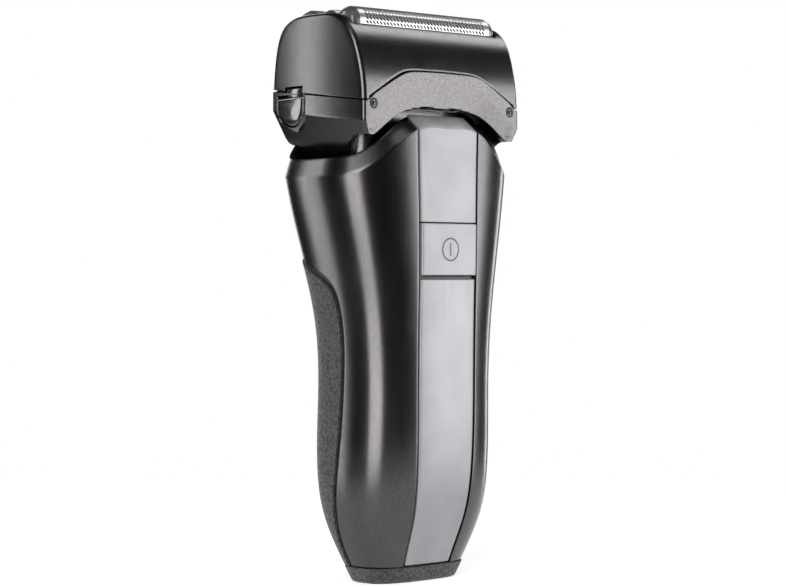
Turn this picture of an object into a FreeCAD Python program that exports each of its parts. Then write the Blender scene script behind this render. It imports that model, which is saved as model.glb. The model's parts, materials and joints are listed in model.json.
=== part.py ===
"""A cordless foil shaver with a tilting head, as an assembly of separate pieces.

Frame: millimetres, +Z up, the front panel faces -Y.
The origin is on the base face under the handle's axis.
"""

import FreeCAD, Part
import Sketcher
import math
import os
from FreeCAD import Vector

doc = FreeCAD.newDocument("foil_shaver")
sheet = doc.addObject("Spreadsheet::Sheet", "Dim")

# ---------------------------------------------------------------- driving dimensions
SIZES = {
    # handle shell
    "skin": 1.8,  # wall of the handle mouldings
    "collar_skin": 3.4,  # wall at the collar
    "ring_top": 4.4,  # height of the band round the foot
    "ring_proud": 0.5,  # how far that band stands out
    "oval_power": 3.0,  # exponent of the handle's oval sections
    "rim_front": 131.2,  # rim height at the front and back
    "rim_side": 118.6,  # rim height at the sides
    "facet_low": 127.4,  # where the front and back facets start
    "facet_in": 4.8,  # how far the facets lean in over their height
    # front strip
    "strip_half": 10.6,  # half width of the metal-look strip at the button
    "strip_gap": 0.8,  # dark gap on each side of the strip
    "plate": 1.75,  # thickness of the strip's plates
    "button_plate": 0.95,
    "carrier": 3.1,  # depth of the back of the strip carrier
    "button_low": 86.4,
    "button_high": 100.9,
    "button_proud": 0.5,
    # head
    "head_y": 1.2,  # centre of the blade rows, neck and tilt axis
    "tilt_z": 112.0,  # height of the tilt axis
    "head_half": 30.2,  # half width of the head at its end edges
    "head_bulge": 1.4,  # crown of each end face
    "head_front": -17.8,
    "head_back": 20.8,
    "head_rise": 4.4,  # how much higher the seam runs at the back
    "head_skin": 1.7,
    "neck_half": 12.3,  # half depth of the neck core
    "rim_room": 1.8,  # how far the head stays above the collar's rim
    "deck_top": 136.4,
    "deck": 2.0,
    "seat": 2.0,  # inset of the rim that centres the foil frame
    # cutting rows
    "row_pitch": 8.0,
    "ridge": 161.0,  # top of the foils
    "foil_half": 4.1,  # outer radius of a foil's arch
    "foil_wall": 0.2,
    "foil_end": 25.4,  # half length of a foil
    "cap_end": 28.0,  # half length over the end caps
    "foil_foot": 151.0,
    "slit_half": 2.4,
    "blade_gap": 0.25,  # room between a foil and its blades
    "blade_half": 20.0,  # half length of a blade stack
    "stroke": 1.2,  # drive travel each way
    "slot_room": 0.3,  # gap round each cassette in the foil frame
    "cap_foot": 149.0,
    # drive
    "motor_half": 15.6,
    "motor_deep": 8.0,  # half depth of the motor case
    "core_deep": 6.2,  # half depth of the iron core
    "coil_deep": 6.8,
    "motor_low": 108.2,
    "motor_high": 117.6,
    "magnet_low": 118.8,
    "yoke_low": 120.8,
    "mover_low": 122.0,
    "mover_high": 125.0,
    "mover_half": 12.0,
    "mover_deep": 9.2,  # how far the movers reach to the front and back
    "mover_apart": 0.6,  # half of the gap between the two movers
    "drive_pin_r": 1.5,
    "trim_pin_r": 1.0,
    "trim_pin_x": 10.0,
    "pin_top": 148.5,
    "holder_low": 144.0,
    "holder_high": 152.5,
    "holder_half": 2.9,
    "trim_holder_half": 1.8,
    # tilt joint
    "tilt_pin_r": 2.0,
    "tilt_pin_in": 20.4,
    "tilt_pin_out": 28.6,
    "neck_wide": 23.2,  # half width of the neck at the tilt axis
    "neck_skin": 1.7,
    "run_gap": 0.05,  # radial clearance of a running fit
    # release buttons
    "release_y": 11.6,  # centre of a release button
    "release_half": 5.4,  # half width of a release button
    "release_low": 128.2,
    "release_high": 136.1,
    "release_in": 28.0,  # inner face of a release button
    "pocket_in": 24.0,  # inner end of its pocket
    "release_gap": 0.25,
    "hook_half": 3.6,
    "hook_top": 138.9,
    "catch_x": 26.7,
    "catch_z": 133.4,
    "catch_r": 0.9,
    # power
    "cell_r": 7.1,
    "cell_y": 4.3,
    "cell_low": 22.0,
    "cell_long": 49.0,
    "board_front": -8.6,
    "board_back": -7.2,
    "board_half": 13.0,
    "chassis_front": -4.8,
    "chassis_back": -3.2,
    "chassis_half": 15.0,
    "chassis_low": 14.0,
    "chassis_high": 99.0,
    "switch_z": 93.65,
    "stem_r": 1.6,
    # charging socket
    "floor_top": 2.6,
    "socket_half": 7.8,  # half width of the socket's recess
    "socket_deep": 3.8,  # half depth of it
    "socket_wall": 1.2,
    "socket_roof": 7.2,
    "contact_r": 1.1,
    "contact_x": 4.5,
    "contact_shank_r": 0.8,  # where a contact passes through the socket's roof
    "contact_low": 2.2,
    "contact_high": 11.8,
    "socket_y": -1.6,
    # base screws
    "screw_x": 12.4,
    "screw_head_r": 2.1,
    "screw_shank_r": 1.1,
}

# handle sections: level, half width, half depth, centre in Y
SECTIONS = [
    (0, 15.9, 8.2, -1.6),
    (8, 20.1, 10.9, -1.6),
    (18, 23.5, 14.9, -1.5),
    (32, 24.9, 17.5, -1.4),
    (55, 24.7, 17.8, -1.8),
    (75, 26.0, 18.2, -1.6),
    (95, 29.6, 20.3, 0.2),
    (116, 33.5, 21.9, 1.9),
    (134, 35.3, 22.4, 2.3),
]
SECTION_PARTS = ("level", "width", "depth", "centre")

REACH = 60.0  # half size of cutting tools that run right through


def fill_sheet():
    """Writes every driving dimension to the sheet as plain text with its alias."""
    cells = dict(SIZES)
    for i, section in enumerate(SECTIONS):
        for part, value in zip(SECTION_PARTS, section):
            cells[f"section_{i}_{part}"] = value
    for line, (alias, value) in enumerate(cells.items(), start=1):
        sheet.set(f"A{line}", alias.replace("_", " "))
        sheet.set(f"B{line}", str(value))
        sheet.setAlias(f"B{line}", alias)
    doc.recompute()


def dim(alias):
    """A driving dimension's value."""
    return float(getattr(sheet, alias))


# ---------------------------------------------------------------- building blocks
made = {}


def keep(node, thing):
    """Names a finished piece: its label is the file that it is written to."""
    thing.Label = node
    made[node] = thing
    return thing


def feature(name, shape):
    """A document object that holds a shape built by Part's own functions."""
    thing = doc.addObject("Part::Feature", name)
    thing.Shape = shape
    return thing


def block(name, x, y, z):
    """Part::Box between low and high expressions along each axis."""
    thing = doc.addObject("Part::Box", name)
    for size, place, (low, high) in zip(("Length", "Width", "Height"), "xyz", (x, y, z)):
        thing.setExpression(size, f"({high}) - ({low})")
        thing.setExpression(f"Placement.Base.{place}", f"{low}")
    return thing


def rod(name, radius, start, length, axis="z"):
    """Part::Cylinder along x, y or z from a start point, all given as expressions."""
    thing = doc.addObject("Part::Cylinder", name)
    thing.setExpression("Radius", f"{radius}")
    thing.setExpression("Height", f"{length}")
    turns = {
        "x": FreeCAD.Rotation(Vector(0, 1, 0), 90),
        "y": FreeCAD.Rotation(Vector(1, 0, 0), -90),
        "z": FreeCAD.Rotation(),
    }
    thing.Placement = FreeCAD.Placement(Vector(), turns[axis])
    for place, value in zip("xyz", start):
        thing.setExpression(f"Placement.Base.{place}", f"{value}")
    return thing


def cut(name, base, *tools):
    """Part::Cut of one base by one or more tools."""
    thing = doc.addObject("Part::Cut", name)
    thing.Base = base
    thing.Tool = tools[0] if len(tools) == 1 else fuse(name + "_tools", *tools)
    return thing


def fuse(name, *parts):
    """Part::MultiFuse of several parts."""
    thing = doc.addObject("Part::MultiFuse", name)
    thing.Shapes = list(parts)
    return thing


def group(name, *parts):
    """Several separate solids that share one node."""
    thing = doc.addObject("Part::Compound", name)
    thing.Links = list(parts)
    return thing


def plane_of(body, role):
    """One of a body's own origin planes."""
    return next(f for f in body.Origin.OriginFeatures if f.Role == role)


def turned(node, profile, centre):
    """PartDesign body turned about its own Z axis from (radius, height) expression pairs."""
    body = doc.addObject("PartDesign::Body", node + "_body")
    sketch = body.newObject("Sketcher::SketchObject", node + "_half")
    sketch.AttachmentSupport = [(plane_of(body, "XZ_Plane"), "")]
    sketch.MapMode = "FlatFace"
    doc.recompute()
    count = len(profile)
    guess = [Vector(5 + i % 3, i, 0) for i in range(count)]
    for i in range(count):
        sketch.addGeometry(Part.LineSegment(guess[i], guess[(i + 1) % count]), False)
    for i in range(count):
        sketch.addConstraint(Sketcher.Constraint("Coincident", i, 2, (i + 1) % count, 1))
    for i, (radius, height) in enumerate(profile):
        for kind, value in (("DistanceX", radius), ("DistanceY", height)):
            at = sketch.addConstraint(Sketcher.Constraint(kind, -1, 1, i, 1, 1.0))
            sketch.setExpression(f"Constraints[{at}]", f"{value}")
    doc.recompute()
    spin = body.newObject("PartDesign::Revolution", node + "_turn")
    spin.Profile = sketch
    spin.ReferenceAxis = (sketch, ["V_Axis"])
    spin.Angle = 360
    body.Placement.Base = Vector(*centre)
    doc.recompute()
    return body


# ---------------------------------------------------------------- curves and handle solids
def superoval(level, width, depth, centre, power=None, count=40):
    """A closed smooth superellipse wire at one level."""
    share = 2.0 / (power or dim("oval_power"))
    points = []
    for i in range(count):
        turn = 2 * math.pi * i / count
        c, s = math.cos(turn), math.sin(turn)
        x = width * math.copysign(abs(c) ** share, c)
        y = centre + depth * math.copysign(abs(s) ** share, s)
        points.append(Vector(x, y, level))
    curve = Part.BSplineCurve()
    curve.interpolate(Points=points, PeriodicFlag=True)
    return Part.Wire(curve.toShape())


def section(i):
    return [dim(f"section_{i}_{part}") for part in SECTION_PARTS]


def handle_solid(inset):
    """The handle's whole outer form, shrunk by inset, before its top is shaped."""
    wires = []
    for i in range(len(SECTIONS)):
        level, width, depth, centre = section(i)
        wires.append(superoval(level, width - inset, depth - inset, centre))
    return Part.makeLoft(wires, True, False)


def rounded(points, radius):
    """Edges of an open path in which every inner corner is a tangent arc."""
    edges, last = [], points[0]
    for before, corner, after in zip(points, points[1:], points[2:]):
        to_before = (before - corner).normalize()
        to_after = (after - corner).normalize()
        half = to_before.getAngle(to_after) / 2
        reach = radius / math.tan(half)
        start, end = corner + to_before * reach, corner + to_after * reach
        middle = corner + (to_before + to_after).normalize() * (radius / math.sin(half) - radius)
        edges.append(Part.LineSegment(last, start).toShape())
        edges.append(Part.Arc(start, middle, end).toShape())
        last = end
    edges.append(Part.LineSegment(last, points[-1]).toShape())
    return edges


def under_arch(corner_x, corner_z, foot_x, foot_z, radius, y):
    """Face in the front view below a flat-topped arch, from its shoulders down its slopes."""
    fall = (corner_z - foot_z) / (foot_x - corner_x)
    end_z = corner_z - fall * (REACH - corner_x)
    half = [(-REACH, end_z), (-corner_x, corner_z), (corner_x, corner_z), (REACH, end_z)]
    path = rounded([Vector(x, y, z) for x, z in half], radius)
    floor = [Vector(REACH, y, end_z), Vector(REACH, y, -REACH), Vector(-REACH, y, -REACH)]
    floor.append(Vector(-REACH, y, end_z))
    path += [Part.LineSegment(a, b).toShape() for a, b in zip(floor, floor[1:])]
    return Part.Face(Part.Wire(Part.__sortEdges__(path)))


def dome():
    """Everything below the rim: an arch in the front view, run through from front to back."""
    front, side = dim("rim_front"), dim("rim_side")
    drop = front - side
    shape = [(10.0, 0.02), (16.0, 0.19), (22.0, 0.52), (27.0, 0.80), (31.5, 0.97), (40.0, 1.06)]
    right = [Vector(x, -REACH, front - drop * share) for x, share in shape]
    left = [Vector(-p.x, p.y, p.z) for p in reversed(right)]
    curve = Part.BSplineCurve()
    curve.interpolate(left + [Vector(0, -REACH, front)] + right)
    ends = [right[-1], Vector(40, -REACH, -5), Vector(-40, -REACH, -5), left[0]]
    edges = [curve.toShape()] + [Part.LineSegment(a, b).toShape() for a, b in zip(ends, ends[1:])]
    return Part.Face(Part.Wire(edges)).extrude(Vector(0, 2 * REACH, 0))


def facet(side, inset):
    """Wedge above the sloping facet at the front (side -1) or back (side 1)."""
    level, width, depth, centre = section(len(SECTIONS) - 1)
    low = dim("facet_low")
    rise = dim("rim_front") - low
    face_y = centre + side * (depth - inset)
    steep = rise / dim("facet_in")
    far = side * 12.0
    points = [
        Vector(-REACH, face_y + far, low - abs(far) * steep),
        Vector(-REACH, face_y - 3 * far, low + 3 * abs(far) * steep),
        Vector(-REACH, face_y + far, low + 3 * abs(far) * steep),
    ]
    return Part.Face(Part.makePolygon(points + points[:1])).extrude(Vector(2 * REACH, 0, 0))


def handle_form(inset):
    """The handle's outer form with its two top facets, shrunk by inset."""
    return handle_solid(inset).cut([facet(-1, inset), facet(1, inset)])


def handle_cavity():
    """The space inside the handle, narrowing under the collar."""
    skin, collar = dim("skin"), dim("collar_skin")
    wires = []
    for i in range(len(SECTIONS) - 2):
        level, width, depth, centre = section(i)
        wires.append(superoval(level, width - skin, depth - skin, centre))
    level, width, depth, centre = section(len(SECTIONS) - 2)
    wires.append(superoval(level, width - collar, depth - collar - 1.3, centre - 0.2))
    level, width, depth, centre = section(len(SECTIONS) - 1)
    wires.append(superoval(level, width - collar, depth - collar - 2.8, centre - 0.9))
    return Part.makeLoft(wires, True, False)


def behind_joint(shift):
    """Everything behind and below the line where the rear cover meets the housing, moved by shift."""
    path = [
        (-0.8, 0), (0.5, 12), (0.0, 24), (-2.4, 42), (-3.6, 58),
        (-4.0, 75), (-1.2, 84.2), (6.0, 88.6), (18.0, 94.6), (40.0, 104.0),
    ]
    points = [Vector(-REACH, y + shift, z - shift) for y, z in path]
    curve = Part.BSplineCurve()
    curve.interpolate(points)
    ends = [
        points[-1],
        Vector(-REACH, REACH, 104),
        Vector(-REACH, REACH, -20),
        Vector(-REACH, points[0].y, -20),
        points[0],
    ]
    edges = [curve.toShape()] + [Part.LineSegment(a, b).toShape() for a, b in zip(ends, ends[1:])]
    return Part.Face(Part.Wire(edges)).extrude(Vector(2 * REACH, 0, 0))


def strip_slot(margin, low, high):
    """Cutter through the front wall with the strip's outline, widened by margin, between two levels."""
    half = dim("strip_half")
    shape = [(0, -2.6), (20, -0.9), (45, -0.15), (95, 0.0), (116, 0.35), (136, 0.8)]
    right = [Vector(half + grow + margin, -40, z) for z, grow in shape]
    left = [Vector(-p.x, p.y, p.z) for p in right]
    sides = []
    for points in (right, left):
        curve = Part.BSplineCurve()
        curve.interpolate(points)
        sides.append(curve.toShape())
    ends = [Part.LineSegment(left[i], right[i]).toShape() for i in (0, -1)]
    face = Part.Face(Part.Wire(Part.__sortEdges__([sides[0], ends[1], sides[1], ends[0]])))
    window = Part.makeBox(80, 80, high - low, Vector(-40, -50, low))
    return face.extrude(Vector(0, 36, 0)).common(window)


def layer(outer, inner):
    """A shell of the handle's form between two insets."""
    return handle_form(outer).cut(handle_form(inner))


# ---------------------------------------------------------------- head solids
def arch_points():
    """The head's side view: its front, crown and back."""
    front, back = dim("head_front"), dim("head_back")
    return [
        (front, 134.0), (front + 0.6, 141.0), (front + 2.2, 147.5), (front + 5.2, 153.4),
        (front + 9.3, 157.0), (1.2, 158.9), (back - 9.4, 158.3), (back - 4.8, 155.8),
        (back - 2.2, 151.2), (back - 0.7, 144.5), (back, 136.0),
    ]


def inward(points, inset):
    """An open path of (y, z) points moved inward by inset; its two ends move straight in."""
    moved = []
    last = len(points) - 1
    for i, (y, z) in enumerate(points):
        if i in (0, last):
            along = Vector(0, 1 if i == 0 else -1, 0)
        else:
            run = Vector(0, points[i + 1][0] - points[i - 1][0], points[i + 1][1] - points[i - 1][1])
            along = Vector(0, run.z, -run.y).normalize()
        moved.append((y + along.y * inset, z + along.z * inset))
    return moved


def head_form(inset, low=100.0):
    """The head's whole outer form, shrunk by inset: the side view run across, with crowned ends."""
    points = [Vector(-REACH, y, z) for y, z in inward(arch_points(), inset)]
    curve = Part.BSplineCurve()
    curve.interpolate(Points=points, InitialTangent=Vector(0, 0, 1), FinalTangent=Vector(0, 0, -1))
    foot = [
        points[-1],
        Vector(-REACH, points[-1].y, low),
        Vector(-REACH, points[0].y, low),
        points[0],
    ]
    edges = [curve.toShape()] + [Part.LineSegment(a, b).toShape() for a, b in zip(foot, foot[1:])]
    wire = Part.Wire(edges)
    across = Part.Face(wire).extrude(Vector(2 * REACH, 0, 0))
    half, bulge = dim("head_half") - inset, dim("head_bulge")
    front, back = dim("head_front") - 1, dim("head_back") + 1
    middle = (front + back) / 2
    corners = [
        Vector(half, front, low),
        Vector(half, back, low),
        Vector(-half, back, low),
        Vector(-half, front, low),
    ]
    plan = Part.Wire([
        Part.Arc(corners[0], Vector(half + bulge, middle, low), corners[1]).toShape(),
        Part.LineSegment(corners[1], corners[2]).toShape(),
        Part.Arc(corners[2], Vector(-half - bulge, middle, low), corners[3]).toShape(),
        Part.LineSegment(corners[3], corners[0]).toShape(),
    ])
    return across.common(Part.Face(plan).extrude(Vector(0, 0, 80)))


def rising(face, start_y):
    """Runs a front-view face from start_y to the back, climbing with the head's seam."""
    slope = dim("head_rise") / (dim("head_back") - dim("head_front"))
    back_off = dim("head_front") - start_y
    face.translate(Vector(0, 0, -back_off * slope))
    long = 2 * REACH
    return face.extrude(Vector(0, long, long * slope))


def below_seam(raised=0.0):
    start = dim("head_front") - 20
    return rising(under_arch(14.5, 143.5 + raised, 30.0, 134.4 + raised, 9.0, start), start)


def neck_core(inset, low, high):
    """The neck's rounded core between two levels, shrunk by inset."""
    wide, deep, y = dim("neck_wide") - inset, dim("neck_half") - inset, dim("head_y")
    wires = []
    for level, grow_x, grow_y in ((low, -0.3, -1.5), (114.0, 0.0, -1.0), (high, 1.0, 0.0)):
        wires.append(superoval(level, wide + grow_x, deep + grow_y, y, 4.0))
    return Part.makeLoft(wires, True, False)


def collar_room():
    """Cutter that keeps the head clear of the collar as it tilts: above the rim, or well inside the wall."""
    raised = dome()
    raised.translate(Vector(0, 0, dim("rim_room")))
    stations = [(117.0, 22.8, 12.0), (124.0, 26.0, 13.4), (136.0, 30.0, 15.0)]
    inner = Part.makeLoft([superoval(z, x, y, dim("head_y")) for z, x, y in stations], True, True)
    return raised.cut(inner)


def openings_front_back():
    """The arches that leave room for the handle's rim in front of and behind the neck core."""
    y, rise = dim("head_y"), dim("head_rise")
    front = under_arch(15.0, 132.2, 26.5, 123.8, 7.0, -REACH)
    back = under_arch(14.0, 132.2 + rise, 23.0, 124.5, 7.0, y + dim("neck_half"))
    return [
        front.extrude(Vector(0, REACH + y - dim("neck_half"), 0)),
        back.extrude(Vector(0, REACH, 0)),
    ]


def leaning_faces():
    """Cutters for the surfaces below the front and back creases, which lean inward as they fall."""
    lean, fall, rise = 1.4, 7.7, dim("head_rise")
    cutters = []
    for y, lift, inside in ((dim("head_front"), 0.0, 1), (dim("head_back"), rise, -1)):
        for step in (Vector(0, inside * 3 * lean, -3 * fall), Vector(0, -inside * 10, 0)):
            crease = under_arch(13.5, 139.9 + lift, 28.0, 128.8 + lift, 9.0, y)
            cutters.append(crease.extrude(step))
    return cutters


def side_wedges():
    """Cutters that slope the head's sides inward below the band."""
    slope = dim("head_rise") / (dim("head_back") - dim("head_front"))
    cutters = []
    for side in (-1, 1):
        outline = ((30.2, 128.6), (45, 128.6), (45, 100), (19.5, 110.0))
        points = [Vector(side * x, -REACH, z) for x, z in outline]
        face = Part.Face(Part.makePolygon(points + points[:1]))
        face.translate(Vector(0, 0, -(REACH + dim("head_front")) * slope))
        cutters.append(face.extrude(Vector(0, 2 * REACH, 2 * REACH * slope)))
    return cutters


def arch_bar(half, top, foot, low_x, high_x, y):
    """A bar along X with a round top: the shape of a foil, a cap or a blade."""
    round_top = Part.makeCylinder(half, high_x - low_x, Vector(low_x, y, top - half), Vector(1, 0, 0))
    straight = Part.makeBox(high_x - low_x, 2 * half, top - half - foot, Vector(low_x, y - half, foot))
    return round_top.fuse(straight).removeSplitter()


def coil(radius, half_wire, low, high, turns, centre):
    """A helical spring of square wire between two levels."""
    pitch = (high - low - 2 * half_wire) / turns
    helix = Part.makeHelix(pitch, pitch * turns, radius)
    inner, outer = radius - half_wire, radius + half_wire
    corners = [(inner, -half_wire), (outer, -half_wire), (outer, half_wire), (inner, half_wire)]
    corners.append(corners[0])
    wire_section = Part.makePolygon([Vector(x, 0, z) for x, z in corners])
    spring = Part.Wire(helix).makePipeShell([wire_section], True, True)
    spring.translate(Vector(centre[0], centre[1], low + half_wire))
    return spring


# ---------------------------------------------------------------- handle pieces
def slab(low, high):
    """Everything between two levels."""
    return Part.makeBox(2 * REACH, 2 * REACH, high - low, Vector(-REACH, -REACH, low))


def box_between(x, y, z):
    """A plain box between low and high on each axis."""
    return Part.makeBox(x[1] - x[0], y[1] - y[0], z[1] - z[0], Vector(x[0], y[0], z[0]))


def main_housing():
    shell = handle_form(0.0).cut(handle_cavity()).common(dome())
    shell = shell.common(slab(dim("ring_top") + 0.25, 150)).cut(behind_joint(0.0))
    return shell.cut(strip_slot(dim("strip_gap"), -5, 150))


def rear_cover(outer, inner, shift):
    lower = slab(dim("ring_top") + 0.25, 110)
    return layer(outer, inner).common(behind_joint(shift)).common(lower)


def strip_plate(proud, inner, low, high):
    """A plate of the front strip between two levels."""
    return layer(proud, inner).common(strip_slot(0.0, low, high)).common(dome())


def strip_carrier():
    outline = strip_slot(dim("strip_gap") - 0.05, 4.9, 129.6)
    body = layer(dim("plate") + 0.05, dim("carrier")).common(outline)
    window = box_between((-2.4, 2.4), (-40, 0), (dim("switch_z") - 2.4, dim("switch_z") + 2.4))
    return body.cut(window)


def base_cap():
    foot = handle_solid(-dim("ring_proud")).common(slab(0.0, dim("ring_top")))
    bottom = [e for e in foot.Edges if e.BoundBox.ZMax < 0.01]
    foot = foot.makeFillet(1.3, bottom)
    y, half, deep = dim("socket_y"), dim("socket_half"), dim("socket_deep")
    hollow = handle_solid(dim("skin")).common(slab(dim("floor_top"), 60))
    inlet = box_between((-half, half), (y - deep, y + deep), (-1, 20))
    holes = []
    for x in (-dim("screw_x"), dim("screw_x")):
        holes.append(Part.makeCylinder(dim("screw_shank_r") + 0.1, 10, Vector(x, y, -1)))
        holes.append(Part.makeCylinder(dim("screw_head_r") + 0.2, 2.4, Vector(x, y, -1)))
    return foot.cut([hollow, inlet] + holes)


def build_handle():
    keep("main_housing", feature("main_housing_shell", main_housing()))
    keep("rear_cover", feature("rear_cover_shell", rear_cover(0.7, dim("skin"), 0.1)))
    keep("rear_grip", feature("rear_grip_skin", rear_cover(0.0, 0.7, 1.4)))
    keep("strip_carrier", feature("strip_carrier_shell", strip_carrier()))
    plate = dim("plate")
    upper = strip_plate(0.0, plate, dim("button_high") + 0.4, 140)
    lower = strip_plate(0.0, plate, 4.95, dim("button_low") - 1.1)
    keep("upper_panel", feature("upper_panel_plate", upper))
    keep("lower_panel", feature("lower_panel_plate", lower))
    low, high = dim("button_low"), dim("button_high")
    face = strip_plate(-dim("button_proud"), dim("button_plate"), low, high)
    stem_start = Vector(0, -19.6, dim("switch_z"))
    stem = Part.makeCylinder(dim("stem_r"), 7.1, stem_start, Vector(0, 1, 0))
    keep("power_button", feature("power_button_key", face.fuse(stem).removeSplitter()))
    keep("base_cap", feature("base_cap_shell", base_cap()))


def build_power():
    low, high = "Dim.board_front", "Dim.board_back"
    board = block("board", ("-Dim.board_half", "Dim.board_half"), (low, high), ("20", "98"))
    keep("control_board", board)
    case = block("tact_case", ("-3", "3"), (f"{low} - 2.4", low), ("Dim.switch_z - 3", "Dim.switch_z + 3"))
    dome_key = rod("tact_key", 1.2, ("0", f"{low} - 3.0", "Dim.switch_z"), "0.6", "y")
    keep("tact_switch", fuse("tact_switch_whole", case, dome_key))
    seal = rod("seal_disc", 2.35, ("0", "-17.2", "Dim.switch_z"), "0.8", "y")
    seal_hole = rod("seal_hole", "Dim.stem_r + 0.12", ("0", "-18", "Dim.switch_z"), "4", "y")
    keep("switch_seal", cut("switch_seal_ring", seal, seal_hole))

    chips = [
        block("driver_chip", ("-4", "4"), (f"{low} - 1.2", low), ("60", "68")),
        block("charge_chip", ("-10", "-5"), (f"{low} - 1", low), ("36", "41")),
        rod("capacitor", 2.4, ("6", f"{low} - 5.2", "44"), "5.2", "y"),
        rod("choke", 3.0, ("-5", f"{low} - 3.4", "50"), "3.4", "y"),
    ]
    keep("board_components", group("board_components_all", *chips))

    plate = block(
        "chassis_plate",
        ("-Dim.chassis_half", "Dim.chassis_half"),
        ("Dim.chassis_front", "Dim.chassis_back"),
        ("Dim.chassis_low", "Dim.chassis_high"),
    )
    shelf = block(
        "chassis_shelf",
        ("-16", "16"),
        ("Dim.chassis_front", "11"),
        ("Dim.chassis_high - 1.8", "Dim.chassis_high"),
    )
    stops = [
        block(f"cell_stop_{i}", ("-6", "6"), ("Dim.chassis_front", "9"), (level, f"{level} + 1.4"))
        for i, level in enumerate(("Dim.cell_low - 3.6", "Dim.cell_low + Dim.cell_long + 2.4"))
    ]
    posts = [
        rod(f"board_post_{i}", 1.6, (x, "Dim.board_back", z), "Dim.chassis_front - Dim.board_back", "y")
        for i, (x, z) in enumerate((("-10", "26"), ("10", "26"), ("-10", "92"), ("10", "92")))
    ]
    keep("chassis", fuse("chassis_whole", plate, shelf, *stops, *posts))

    r, long = "Dim.cell_r", "Dim.cell_long"
    profile = [
        ("0", "0"), (f"{r} - 0.6", "0"), (r, "0.6"), (r, f"{long} - 0.8"), (f"{r} - 0.8", long),
        ("2.4", long), ("2.4", f"{long} + 1"), ("0", f"{long} + 1"),
    ]
    keep("battery_cell", turned("battery_cell", profile, (0, dim("cell_y"), dim("cell_low"))))
    tabs = [
        block(f"tab_{i}", ("-2", "2"), ("Dim.chassis_back", "Dim.cell_y + 2.5"), (level, f"{level} + 0.3"))
        for i, level in enumerate(("Dim.cell_low - 0.35", "Dim.cell_low + Dim.cell_long + 1.05"))
    ]
    keep("battery_tabs", group("battery_tabs_both", *tabs))

    y, wall = "Dim.socket_y", "Dim.socket_wall"
    half, deep = "Dim.socket_half", "Dim.socket_deep"
    outer = block(
        "socket_outer",
        (f"-{half} - {wall}", f"{half} + {wall}"),
        (f"{y} - {deep} - {wall}", f"{y} + {deep} + {wall}"),
        ("Dim.floor_top + 0.6", f"Dim.socket_roof + {wall}"),
    )
    inner = block(
        "socket_inner",
        (f"-{half}", half),
        (f"{y} - {deep}", f"{y} + {deep}"),
        ("-1", "Dim.socket_roof"),
    )
    bores, pins = [], []
    for i, x in enumerate(("-Dim.contact_x", "Dim.contact_x")):
        bores.append(rod(f"contact_bore_{i}", "Dim.contact_shank_r", (x, y, "0"), "20"))
        low, roof = "Dim.contact_low", "Dim.socket_roof"
        tip = rod(f"contact_tip_{i}", "Dim.contact_r", (x, y, low), f"{roof} - {low}")
        shank = rod(f"contact_shank_{i}", "Dim.contact_shank_r", (x, y, roof), f"Dim.contact_high - {roof}")
        pins.append(fuse(f"contact_{i}", tip, shank))
    keep("charging_socket", cut("charging_socket_cup", outer, inner, *bores))
    keep("charging_pins", group("charging_pins_both", *pins))
    gasket = block(
        "gasket_outer",
        (f"-{half} - {wall}", f"{half} + {wall}"),
        (f"{y} - {deep} - {wall}", f"{y} + {deep} + {wall}"),
        ("Dim.floor_top", "Dim.floor_top + 0.6"),
    )
    hole = block("gasket_hole", (f"-{half}", half), (f"{y} - {deep}", f"{y} + {deep}"), ("0", "9"))
    keep("socket_gasket", cut("socket_gasket_ring", gasket, hole))


def screw(name, place):
    """A cross-head screw whose head starts at place and whose shank runs on upward."""
    head_r, head, length = dim("screw_head_r"), 1.0, 9.0
    x, y, z = place
    shape = Part.makeCylinder(head_r, head, Vector(x, y, z))
    shape = shape.fuse(Part.makeCylinder(dim("screw_shank_r"), length, Vector(x, y, z + head)))
    half, wide = 0.75 * head_r, 0.25
    slots = [
        box_between((x - half, x + half), (y - wide, y + wide), (z - 1, z + 0.5)),
        box_between((x - wide, x + wide), (y - half, y + half), (z - 1, z + 0.5)),
    ]
    return feature(name, shape.cut(slots))


def build_screws():
    places = [(side * dim("screw_x"), dim("socket_y"), 0.4) for side in (-1, 1)]
    screws = [screw(f"base_screw_{i}", place) for i, place in enumerate(places)]
    keep("base_screws", group("base_screws_both", *screws))


# ---------------------------------------------------------------- tilt joint
def tilt_bracket(side):
    """A bearing block that fits against the collar's inner wall on one side."""
    x = sorted((side * 24.6, side * 40))
    body = box_between(x, (dim("head_y") - 6, dim("head_y") + 6), (104.0, 115.6)).common(handle_cavity())
    start = Vector(0, dim("head_y"), dim("tilt_z"))
    return body.cut(Part.makeCylinder(dim("tilt_pin_r"), 60, start, Vector(side, 0, 0)))


def build_tilt():
    brackets = [feature(f"tilt_bracket_{i}", tilt_bracket(side)) for i, side in enumerate((-1, 1))]
    keep("tilt_brackets", group("tilt_brackets_both", *brackets))
    pins = []
    for i, start in enumerate(("Dim.tilt_pin_in", "-Dim.tilt_pin_out")):
        long = "Dim.tilt_pin_out - Dim.tilt_pin_in"
        pins.append(rod(f"tilt_pin_{i}", "Dim.tilt_pin_r", (start, "Dim.head_y", "Dim.tilt_z"), long, "x"))
    keep("tilt_pins", group("tilt_pins_both", *pins))
    springs = []
    for i, y in enumerate((-6.0, 6.0)):
        spring = coil(2.0, 0.3, dim("chassis_high"), 105.8, 4, (0, dim("head_y") + y))
        springs.append(feature(f"tilt_coil_{i}", spring))
    keep("tilt_springs", group("tilt_springs_both", *springs))
    ring = handle_cavity().common(slab(115.9, 117.1))
    keep("neck_seal", feature("neck_seal_ring", ring.cut(neck_core(-0.4, 104.0, 134.0))))


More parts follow.
